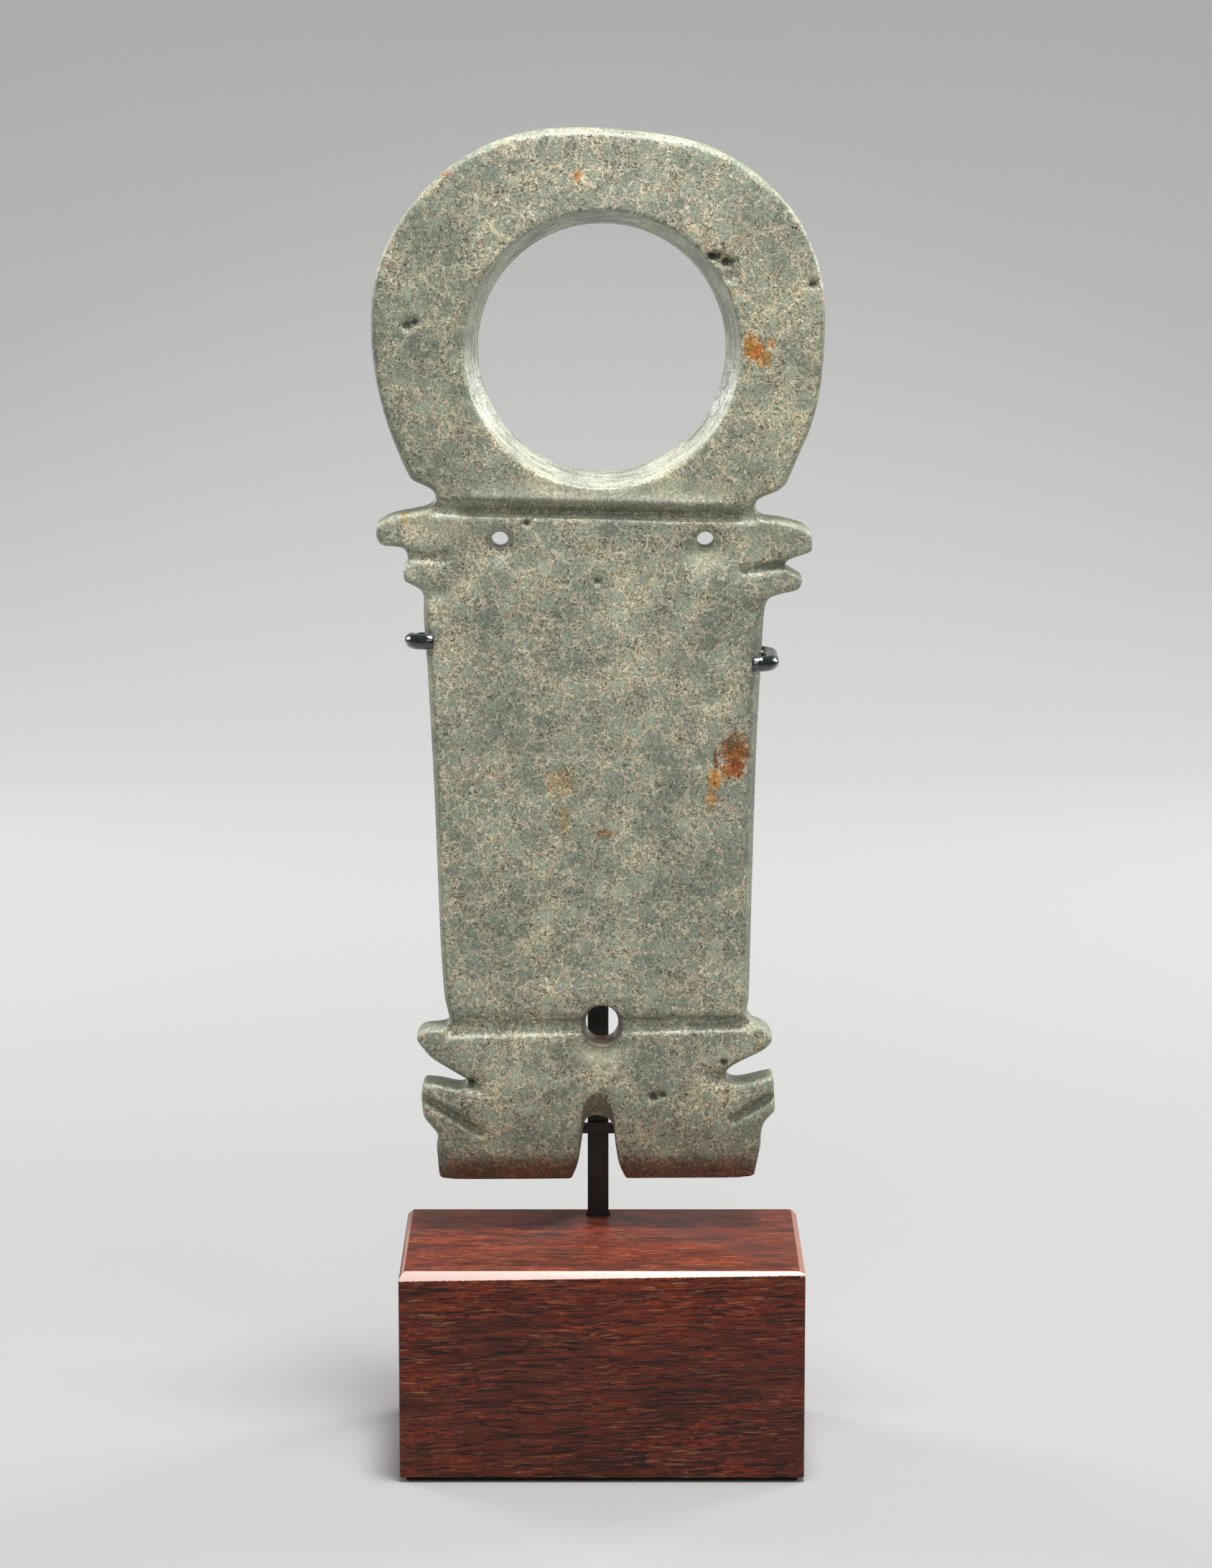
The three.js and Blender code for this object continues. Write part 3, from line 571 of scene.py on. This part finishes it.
# Tangled fibres: thin lines where a noise crosses its middle value
def tangle(surface, place, scale, width, shift):
    moved = surface.vector("ADD", place, (shift, shift * 2, shift * 3))
    field = surface.noise(moved, scale, 1.5, 0.5, 0.8)
    return 1 - (field - 0.5).size().between(width * 0.15, width)


# Mask of one marked place on the carved face
def faceMark(surface, place, kind, at, size, ragged=None):
    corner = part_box("jade_pendant")[0]
    centre = (at[0], corner.y / mm, at[1] + corner.z / mm)
    mark = markReach[kind]
    return spot(surface, place, centre, (size[0], mark["reach"], size[1]), mark["softness"], ragged)


def jadeSurface(look):
    surface = Surface("jadeFinish", look["shader"])
    edges, shares, tones = look["edges"], look["shares"], look["tones"]
    colours = screens(look["colours"])
    place = surface.place()
    soft = surface.warped(place, *look["softWarps"])
    curled = surface.warped(place, *look["curlWarps"])

    def field(name, where=place):
        return surface.noise(where, *look["noises"][name])

    # Teal grains in a speckled ground
    cloud, grit, patch = field("cloud"), field("grit"), field("patch")
    edge, tone = grains(surface, soft, look["grain"]["scale"])
    crystal = surface.vector("ADD", curled, look["crystal"]["shift"])
    fineEdge, fineTone = grains(surface, crystal, look["crystal"]["scale"])
    width, fineWidth = look["grain"]["vein"], look["crystal"]["vein"]
    vein, fineVein = veined(edge, width), veined(fineEdge, fineWidth)
    core = edge.between(width * 0.8, width * 3.4)
    smooth = core * tone.between(*edges["grainChance"]) * cloud.between(*edges["grainCloud"])
    grain = surface.mix(tone, colours["grainDark"], colours["grainLight"])
    grain = surface.toned(grain, cloud, *tones["cloud"])
    ground = surface.mix(fineTone, colours["groundDark"], colours["groundLight"])
    colour = surface.mix(smooth * shares["grain"], ground, grain)

    # Painted shade in the small hollows of the texture, and pale and warm fibres over them
    threads = tangle(surface, curled, *look["threads"][0])
    for values in look["threads"][1:]:
        threads = threads.most(tangle(surface, curled, *values))
    torn = field("torn", curled).between(*edges["torn"])
    lines = threads.most(fineVein * torn * shares["fineVein"]).most(vein * torn * shares["vein"])
    fibre = lines * (1 - smooth * 0.62)
    warm = field("warm").between(*edges["warm"]) * patch.between(*edges["warmPatch"])
    fibreColour = surface.mix(warm, colours["fibrePale"], colours["fibreWarm"])
    hollowShade = (1 - grit.between(*edges["hollowShade"])) * (1 - smooth * 0.8)
    colour = surface.mix(hollowShade * shares["hollowShade"], colour, colours["hollowShade"])
    cover = 0.45 + field("sugar").between(*edges["sugar"]) * 0.55
    colour = surface.mix(fibre * cover, colour, fibreColour)
    stria = tangle(surface, soft, *look["stria"]) * smooth
    colour = surface.mix(stria * shares["stria"], colour, colours["stria"])
    # Painted glints: near-white specks along the fibres that stand in for tiny highlights
    paintedGlint = threads * field("paintedGlint").between(*edges["paintedGlint"])
    colour = surface.mix(paintedGlint * shares["paintedGlint"], colour, colours["paintedGlint"])
    brown = field("brown").between(*edges["brown"]) * patch.between(*edges["brownPatch"])
    colour = surface.mix(brown * shares["brown"], colour, colours["brown"])

    # Painted shade on steep faces, darker and plainer, with less of it over the fibres
    turned = surface.node("ShaderNodeTexCoord", {}, {}, "Normal")
    steepShade = 1 - surface.axis(turned, 1).size().between(*edges["slope"])
    slopeShadeColour = surface.mix(cloud, colours["slopeShadeDark"], colours["slopeShadeLight"])
    paintedLightCover = 1 - fibre * 0.4
    colour = surface.mix(steepShade * paintedLightCover * shares["slope"], colour, slopeShadeColour)
    ragged = (field("ragged") - 0.5) * look["raggedness"]
    # Painted sheen over the listed places, less over the fibres
    sheen = surface.mix(cloud, colours["sheenDark"], colours["sheenLight"])
    for zone in paintedSheenZones:
        mask = faceMark(surface, place, "paintedSheen", zone["at"], zone["size"], ragged * 0.12)
        colour = surface.mix(mask * zone["strength"] * paintedLightCover, colour, sheen)

    # Stains, flecks, the pits and two chips painted dark, hole walls with painted highlight, and soil with
    # painted reflection of the red wood on the feet
    for stain in jadeStains:
        mask = faceMark(surface, curled, "stain", stain["at"], stain["size"], ragged)
        colour = surface.toned(colour, mask * stain["strength"], (1, 1, 1), stain["glaze"])
    fleckZone = field("fleck").between(*edges["fleck"]) * 0.5
    for cluster in jadeFlecks:
        fleckZone = fleckZone.most(faceMark(surface, place, "fleck", cluster["at"], cluster["size"]))
    fleck = (1 - surface.cells(curled, look["fleckScale"]).between(*edges["fleckSize"])) * fleckZone
    colour = surface.mix(fleck * shares["fleck"], colour, colours["fleck"])
    # Pits and the first two chips painted near-black
    for cavity in stonePlan["pits"] + stonePlan["chips"][: stonePlan["darkChips"]]:
        size = [radius * 0.9 for radius in cavity["radius"]]
        mask = faceMark(surface, curled, "pitDark", cavity["at"], size)
        colour = surface.mix(mask * shares["pitDark"], colour, colours["pitDark"])
    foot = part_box("jade_pendant")[0].z / mm
    drilled = field("drilled", surface.place(look["drillStretch"])).between(*edges["drilled"])
    # Bore walls: drilling streaks with painted highlight
    for hole in boreStreaksAndHighlights:
        across, up = hole["at"]
        size = (hole["radius"], look["drillReach"], hole["radius"])
        inside = spot(surface, place, (across, look["drillMiddle"], up + foot), size, 0.02)
        wall = surface.mix(drilled, screen(*hole["dark"]), screen(*hole["light"]))
        colour = surface.mix(inside * shares["hole"], colour, wall)
    # Darker, redder band at the sole: partly soil, partly painted reflection of light from the red wood
    soilAndWoodBounce = 1 - (surface.axis(place, 2) - foot + ragged * 1.5).between(*edges["soilAndWoodBounce"])
    colour = surface.toned(colour, soilAndWoodBounce, *tones["soilAndWoodBounce"])

    # Tones from fine to broad
    colour = surface.toned(colour, grit.between(*edges["gritTone"]), *tones["grit"])
    colour = surface.toned(colour, patch.between(*edges["patchTone"]), *tones["patch"])
    colour = surface.toned(colour, field("broad").between(*edges["broadTone"]), *tones["broad"])
    # Painted light and shade over broad parts, in the neck groove and below the holes
    for zone in paintedShadesAndHighlights:
        mask = faceMark(surface, place, "shade", zone["at"], zone["size"])
        colour = surface.toned(colour, mask, (1, 1, 1), zone["shade"])
    roughness = look["roughness"] + grit * 0.2 - smooth * 0.08
    relief = grit * 0.6 + fibre * 0.5 - fleck - hollowShade * 0.5
    normal = surface.bump(relief, **look["bump"])
    return surface.finish(colour=colour, roughness=roughness, normal=normal)


def makeStone(plan, look):
    stone = copyOfNode("jade_pendant", "jadeStone")
    modifier(stone, "REMESH", {"mode": "VOXEL", "voxel_size": plan["voxel"] * mm})
    modifier(stone, "SMOOTH", {"factor": 0.5, "iterations": plan["smoothing"]})
    sculptStone(stone, plan)
    modifier(stone, "SMOOTH", {"factor": 0.4, "iterations": 1})
    faces = sum(len(polygon.vertices) - 2 for polygon in stone.data.polygons)
    modifier(stone, "DECIMATE", {"ratio": min(1, plan["triangles"] / faces)})
    smoothFaces(stone)
    stone.data.materials.append(jadeSurface(look))
    bodied(stone, "pendant", "jade_pendant")
    print("stone made:", faces, "faces before thinning,", len(stone.data.polygons), "after")


makeStone(stonePlan, jadeLook)


# Finishes of the stand, with noises as (scale per millimetre, detail, roughness) and screen colours
steelLook = {
    "shader": {"Specular IOR Level": 0.5},
    "mottle": (0.5, 4, 0.6),
    "grit": (5.0, 3, 0.6),
    "worn": (1.3, 3, 0.7),
    "colours": {"dark": (22, 19, 17), "light": (44, 36, 31), "worn": (96, 88, 80)},
    "bump": {"strength": 0.25, "depth": 0.05},
}
tubingLook = {
    "shader": {"Specular IOR Level": 0.8, "IOR": 1.55, "Coat Roughness": 0.05},
    "wave": (1.1, 2, 0.5),
    "dust": (3.0, 4, 0.8),
    "colours": {"plain": (18, 27, 24), "dusty": (120, 126, 120)},
    "coat": 0.8,
    "bump": {"strength": 0.35, "depth": 0.25},
}
feltLook = {
    "shader": {"Specular IOR Level": 0.1, "Sheen Weight": 0.25, "Sheen Roughness": 0.5},
    "fuzz": (2.8, 4, 0.75),
    "clumps": (0.7, 3, 0.6),
    "colours": {"dark": (20, 22, 22), "light": (52, 54, 52), "clump": (66, 68, 64)},
    "roughness": 0.92,
    "bump": {"strength": 0.8, "depth": 0.25},
}
brassLook = {
    "shader": {"Specular IOR Level": 0.5, "Metallic": 1.0},
    "stretch": (1, 1, 0.08),
    "drawn": (3.0, 4, 0.6),
    "colours": {"dark": (150, 118, 60), "light": (196, 160, 92)},
    "bump": {"strength": 0.2, "depth": 0.04},
}


def steelSurface(look):
    surface = Surface("darkSteel", look["shader"])
    place = surface.place()
    colours = screens(look["colours"])
    mottle = surface.noise(place, *look["mottle"])
    worn = surface.noise(place, *look["worn"]).between(0.66, 0.74)
    colour = surface.mix(mottle.between(0.35, 0.7), colours["dark"], colours["light"])
    colour = surface.mix(worn * 0.5, colour, colours["worn"])
    normal = surface.bump(surface.noise(place, *look["grit"]), **look["bump"])
    return surface.finish(colour=colour, roughness=0.38 + mottle * 0.2, normal=normal)


def tubingSurface(look):
    surface = Surface("shrinkTubing", look["shader"])
    place = surface.place()
    colours = screens(look["colours"])
    wave = surface.noise(place, *look["wave"])
    dust = surface.noise(place, *look["dust"]).between(0.7, 0.76)
    colour = surface.mix(dust * 0.5, colours["plain"], colours["dusty"])
    roughness = 0.06 + wave * 0.12 + dust * 0.4
    normal = surface.bump(wave, **look["bump"])
    return surface.finish(colour=colour, roughness=roughness, coat=look["coat"], normal=normal)


def feltSurface(look):
    surface = Surface("felt", look["shader"])
    place = surface.place()
    colours = screens(look["colours"])
    fuzz = surface.noise(place, *look["fuzz"])
    clumps = surface.noise(place, *look["clumps"]).between(0.5, 0.7)
    colour = surface.mix(fuzz.between(0.35, 0.7), colours["dark"], colours["light"])
    colour = surface.mix(clumps * 0.3, colour, colours["clump"])
    normal = surface.bump(fuzz, **look["bump"])
    return surface.finish(colour=colour, roughness=look["roughness"], normal=normal)


def brassSurface(look):
    surface = Surface("drawnBrass", look["shader"])
    colours = screens(look["colours"])
    drawn = surface.noise(surface.place(look["stretch"]), *look["drawn"])
    colour = surface.mix(drawn, colours["dark"], colours["light"])
    normal = surface.bump(drawn, **look["bump"])
    return surface.finish(colour=colour, roughness=0.28 + drawn * 0.2, normal=normal)


# Hardwood block: chamfer that tapers from left to right along the front, and softened corners
woodPlan = {
    "chamfer": 1.2,
    "leftDrop": 0.85,
    "rightRise": 0.5,
    "soften": 0.22,
    "softenSegments": 3,
}
# Each grain noise is drawn out along the block: its share of the length, its shift and its noise
woodLook = {
    "shader": {"Specular IOR Level": 0.2, "Coat Roughness": 0.3},
    "slope": 0.03,
    "bend": (0.05, 2.2),
    "grain": {
        "band": (0.08, (0, 0, 0), (0.3, 4, 0.6)),
        "streak": (0.08, (0, 0, 0), (1.3, 4, 0.7)),
        "hair": (0.05, (9, 3, 5), (2.3, 3, 0.75)),
        "patch": (0.35, (0, 0, 0), (0.2, 4, 0.65)),
        "line": (0.025, (5, 1, 8), (1.4, 3, 0.7)),
        "mottle": (0.3, (4, 4, 1), (1.6, 3, 0.7)),
        "pale": (0.03, (2, 9, 4), (1.8, 3, 0.7)),
        "pores": (0.05, (3, 7, 5), (3.2, 3, 0.6)),
    },
    "specks": (1.7, 3, 0.8),
    "chamferRag": (1.2, 3, 0.7),
    "colours": {
        "bandDark": (72, 25, 15),
        "bandLight": (104, 37, 18),
        "red": (146, 56, 22),
        "streak": (132, 74, 50),
        "line": (30, 14, 12),
        "pale": (146, 84, 56),
        "hair": (16, 8, 8),
        "pores": (176, 126, 92),
        "specks": (210, 200, 186),
        # Painted highlights of the side and front chamfers
        "sideEdge": (190, 140, 124),
        "frontEdge": (222, 192, 182),
    },
    "edges": {
        "band": (0.3, 0.7),
        "redPatch": (0.42, 0.62),
        "redMottle": (0.42, 0.58),
        "streak": (0.52, 0.64),
        "line": (0.38, 0.46),
        "pale": (0.58, 0.64),
        "hair": (0.41, 0.48),
        "pores": (0.6, 0.66),
        "porePatch": (0.4, 0.6),
        "specks": (0.75, 0.78),
    },
    "shares": {"red": 0.75, "streak": 0.4, "line": 0.7, "pale": 0.3, "hair": 0.9, "specks": 0.7},
    "coat": 0.22,
    "bump": {"strength": 0.4, "depth": 0.08},
}


# How far a place lies past the inner line of a chamfer of the block, as a mask, to the side and upwards
def pastEdge(reach, rise):
    return reach.between(-0.1, 0.05) * rise.between(-0.08, 0.08)


def woodSurface(look, plan):
    surface = Surface("hardwood", look["shader"])
    place = surface.place()
    colours = screens(look["colours"])
    sloped = surface.node("ShaderNodeMapping", {}, {"Vector": place, "Rotation": (0, look["slope"], 0)})
    bent = surface.warped(sloped, look["bend"])

    def field(name):
        share, shift, values = look["grain"][name]
        sockets = {"Vector": bent, "Scale": (share, 1, 1), "Location": shift}
        return surface.noise(surface.node("ShaderNodeMapping", {}, sockets), *values)

    # Bands and red patches, then pale and dark lines, then open pores
    edges, shares = look["edges"], look["shares"]
    streak, hair, patch = field("streak"), field("hair"), field("patch")
    colour = surface.mix(field("band").between(*edges["band"]), colours["bandDark"], colours["bandLight"])
    layers = {
        "red": patch.between(*edges["redPatch"]) * field("mottle").between(*edges["redMottle"]),
        "streak": streak.between(*edges["streak"]),
        "line": 1 - field("line").between(*edges["line"]),
        "pale": field("pale").between(*edges["pale"]),
        "hair": 1 - hair.between(*edges["hair"]),
    }
    for name, mask in layers.items():
        colour = surface.mix(mask * shares[name], colour, colours[name])
    pores = field("pores").between(*edges["pores"])
    poreCover = 0.2 + patch.between(*edges["porePatch"]) * 0.5
    colour = surface.mix(pores * poreCover, colour, colours["pores"])
    specks = surface.noise(place, *look["specks"]).between(*edges["specks"])
    colour = surface.mix(specks * shares["specks"], colour, colours["specks"])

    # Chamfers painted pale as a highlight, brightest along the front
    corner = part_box("wood_base")[1] / mm
    x, y, z = (surface.axis(place, number) for number in range(3))
    innerX, innerY, innerZ = (length - plan["chamfer"] for length in corner)
    ragged = (surface.noise(place, *look["chamferRag"]) - 0.5) * 0.6
    along = (x / corner.x + 1) * 0.5
    taper = along * (plan["leftDrop"] + plan["rightRise"]) - plan["leftDrop"]
    rise = z - innerZ + ragged
    sideEdge = pastEdge(x.size() - innerX, rise).most(pastEdge(y - innerY, rise))
    frontEdge = pastEdge(0 - y - innerY, rise - taper)
    colour = surface.mix(sideEdge * (0.3 + hair * 0.3), colour, colours["sideEdge"])
    colour = surface.mix(frontEdge * (0.6 + hair * 0.4), colour, colours["frontEdge"])
    normal = surface.bump(streak * 0.4 + hair - pores * 0.4, **look["bump"])
    return surface.finish(colour=colour, roughness=0.4 + hair * 0.2, coat=look["coat"], normal=normal)


steel = steelSurface(steelLook)
tubing = tubingSurface(tubingLook)
felt = feltSurface(feltLook)
brass = brassSurface(brassLook)
wood = woodSurface(woodLook, woodPlan)


# Felt cut by hand: soft edges and a slightly uneven nap, inside the space of its solid
crossbarFelt = {"body": "armature", "voxel": 0.1, "smoothing": 3, "nap": 0.06}
feltPlan = {
    "post_pad": {"name": "postPad", "body": "armature", "voxel": 0.16, "smoothing": 4, "nap": 0.08},
    "left_crossbar_pad": {"name": "leftCrossbarPad", **crossbarFelt},
    "right_crossbar_pad": {"name": "rightCrossbarPad", **crossbarFelt},
    "base_felt": {"name": "baseFelt", "body": "base", "voxel": 0.42, "smoothing": 3, "nap": 0.12},
}
feltFluff = {"grain": 0.9, "fill": 0.9}
sleevePlan = {
    "names": {"left_prong_sleeve": "leftSleeve", "right_prong_sleeve": "rightSleeve"},
    "levels": 3,
    "wrinkle": 0.13,
    "fold": 1.5,
}


# Sinks every point of a piece along its normal by a share of depth that a fractal noise gives
def roughen(piece, depth, grain):
    places, normals = pointsOf(piece)
    levels = [noise.fractal(Vector(place) / grain, 1.0, 2.0, 3) for place in places]
    share = np.clip(0.5 + 0.6 * np.array(levels), 0, 1)
    setPoints(piece, places - normals * (depth * share)[:, None])


def makeFelt(node, plan):
    pad = copyOfNode(node, plan["name"])
    modifier(pad, "REMESH", {"mode": "VOXEL", "voxel_size": plan["voxel"] * mm})
    modifier(pad, "SMOOTH", {"factor": 0.5, "iterations": plan["smoothing"]})
    roughen(pad, plan["nap"], feltFluff["grain"])
    smoothFaces(pad)
    pad.data.materials.append(felt)
    bodied(pad, plan["body"], node)


def makeSleeve(node, name, plan):
    sleeve = copyOfNode(node, name)
    bpy.ops.object.mode_set(mode="EDIT")
    bpy.ops.mesh.tris_convert_to_quads()
    bpy.ops.object.mode_set(mode="OBJECT")
    modifier(sleeve, "SUBSURF", {"levels": plan["levels"], "render_levels": plan["levels"]})
    roughen(sleeve, plan["wrinkle"], plan["fold"])
    smoothFaces(sleeve)
    sleeve.data.materials.append(tubing)
    bodied(sleeve, "armature", node)


for node, plan in feltPlan.items():
    makeFelt(node, plan)
for node, name in sleevePlan["names"].items():
    makeSleeve(node, name, sleevePlan)
print("felt and sleeves made")


# CAD nodes whose shape is right keep their mesh and get the finish
def dressNode(node, material):
    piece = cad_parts[node]
    piece.data.materials.clear()
    piece.data.materials.append(material)


for node in ("mount_post", "lower_crossbar", "left_prong", "right_prong"):
    dressNode(node, steel)
dressNode("post_socket", brass)
print("mount dressed")


def makeBlock(plan):
    block = copyOfNode("wood_base", "hardwoodBlock")
    bpy.ops.object.mode_set(mode="EDIT")
    bpy.ops.mesh.select_all(action="SELECT")
    bpy.ops.mesh.dissolve_limited(angle_limit=math.radians(1))
    bpy.ops.object.mode_set(mode="OBJECT")
    # The lower line of the front chamfer sinks on the left and rises on the right
    places, _ = pointsOf(block)
    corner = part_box("wood_base")[1] / mm
    line = (np.abs(places[:, 2] - (corner.z - plan["chamfer"])) < 0.1) & (places[:, 1] < 0)
    line &= np.abs(places[:, 1] + corner.y) < 1
    along = (places[:, 0] / corner.x + 1) / 2
    shift = -plan["leftDrop"] + (plan["leftDrop"] + plan["rightRise"]) * along
    places[:, 2] += np.where(line, shift, 0)
    setPoints(block, places)
    settings = {"width": plan["soften"] * mm, "segments": plan["softenSegments"]}
    settings |= {"limit_method": "ANGLE", "angle_limit": math.radians(25)}
    modifier(block, "BEVEL", settings)
    bpy.ops.object.shade_smooth_by_angle(angle=math.radians(35))
    block.data.materials.append(wood)
    bodied(block, "base", "wood_base")


makeBlock(woodPlan)
print("block made")


# Plain pale floor and backdrop in one sweep, and soft light mainly from above, in metres
stagePlan = {
    "width": 8.0,
    "frontEdge": -3.0,
    "bendStart": 0.9,
    "bendRadius": 1.2,
    "bendSteps": 40,
    "height": 4.0,
    "floorColour": (0.32, 0.32, 0.315),
    "wallColour": (0.76, 0.76, 0.75),
    "paleFrom": (0.1, 1.5),
    "fibres": (220, 3, 0.6),
    "fibreTone": ((0.985, 0.985, 0.985), (1.015, 1.015, 1.015)),
}
lampPlan = [
    {"name": "overhead", "place": (0.08, -0.11, 1.3), "aim": (0, 0, 0.17), "size": 0.3, "power": 24.0},
    {"name": "topRight", "place": (0.1, -0.2, 0.58), "aim": (0.01, 0, 0.27), "size": 0.12, "power": 0.7},
    {"name": "frontSoft", "place": (0.0, -1.7, 1.15), "aim": (0, 0, 0.16), "size": 1.0, "power": 7.4},
    {"name": "leftRim", "place": (-0.8, 0.6, 0.5), "aim": (0, 0, 0.18), "size": 0.4, "power": 6.0},
    {"name": "rightRim", "place": (0.8, 0.6, 0.5), "aim": (0, 0, 0.18), "size": 0.4, "power": 6.0},
]
worldStrength = 0.13


def makeStage(plan):
    bpy.ops.object.select_all(action="DESELECT")
    half = plan["width"] / 2
    profile = [(plan["frontEdge"], 0.0), (plan["bendStart"], 0.0)]
    for step in range(1, plan["bendSteps"] + 1):
        turn = math.radians(90 * step / plan["bendSteps"])
        y = plan["bendStart"] + plan["bendRadius"] * math.sin(turn)
        z = plan["bendRadius"] * (1 - math.cos(turn))
        profile.append((y, z))
    profile.append((plan["bendStart"] + plan["bendRadius"], plan["height"]))
    verts = [(side * half, y, z) for y, z in profile for side in (-1, 1)]
    faces = [(2 * i, 2 * i + 1, 2 * i + 3, 2 * i + 2) for i in range(len(profile) - 1)]
    mesh = bpy.data.meshes.new("backdrop")
    mesh.from_pydata(verts, [], faces)
    backdrop = bpy.data.objects.new("backdrop", mesh)
    smoothFaces(backdrop)
    bpy.context.scene.collection.objects.link(backdrop)
    surface = Surface("backdropPaper", {"Roughness": 0.9})
    coords = surface.node("ShaderNodeTexCoord", {}, {}, "Object")
    back = surface.axis(coords, 1).between(*plan["paleFrom"])
    colour = surface.mix(back, plan["floorColour"], plan["wallColour"])
    fibres = surface.noise(coords, *plan["fibres"])
    colour = surface.toned(colour, fibres, *plan["fibreTone"])
    mesh.materials.append(surface.finish(colour=colour))


def makeLamps(plan):
    for lamp in plan:
        data = bpy.data.lights.new(lamp["name"], "AREA")
        data.shape = "SQUARE"
        data.size = lamp["size"]
        data.energy = lamp["power"]
        item = bpy.data.objects.new(lamp["name"], data)
        item.location = lamp["place"]
        direction = Vector(lamp["aim"]) - Vector(lamp["place"])
        item.rotation_euler = direction.to_track_quat("-Z", "Y").to_euler()
        bpy.context.scene.collection.objects.link(item)


def makeWorld(strength):
    world = bpy.data.worlds.new("studio")
    bpy.context.scene.world = world
    world.use_nodes = True
    background = world.node_tree.nodes["Background"]
    background.inputs["Color"].default_value = (1, 1, 1, 1)
    background.inputs["Strength"].default_value = strength


makeStage(stagePlan)
makeLamps(lampPlan)
makeWorld(worldStrength)
print("stage and light set")
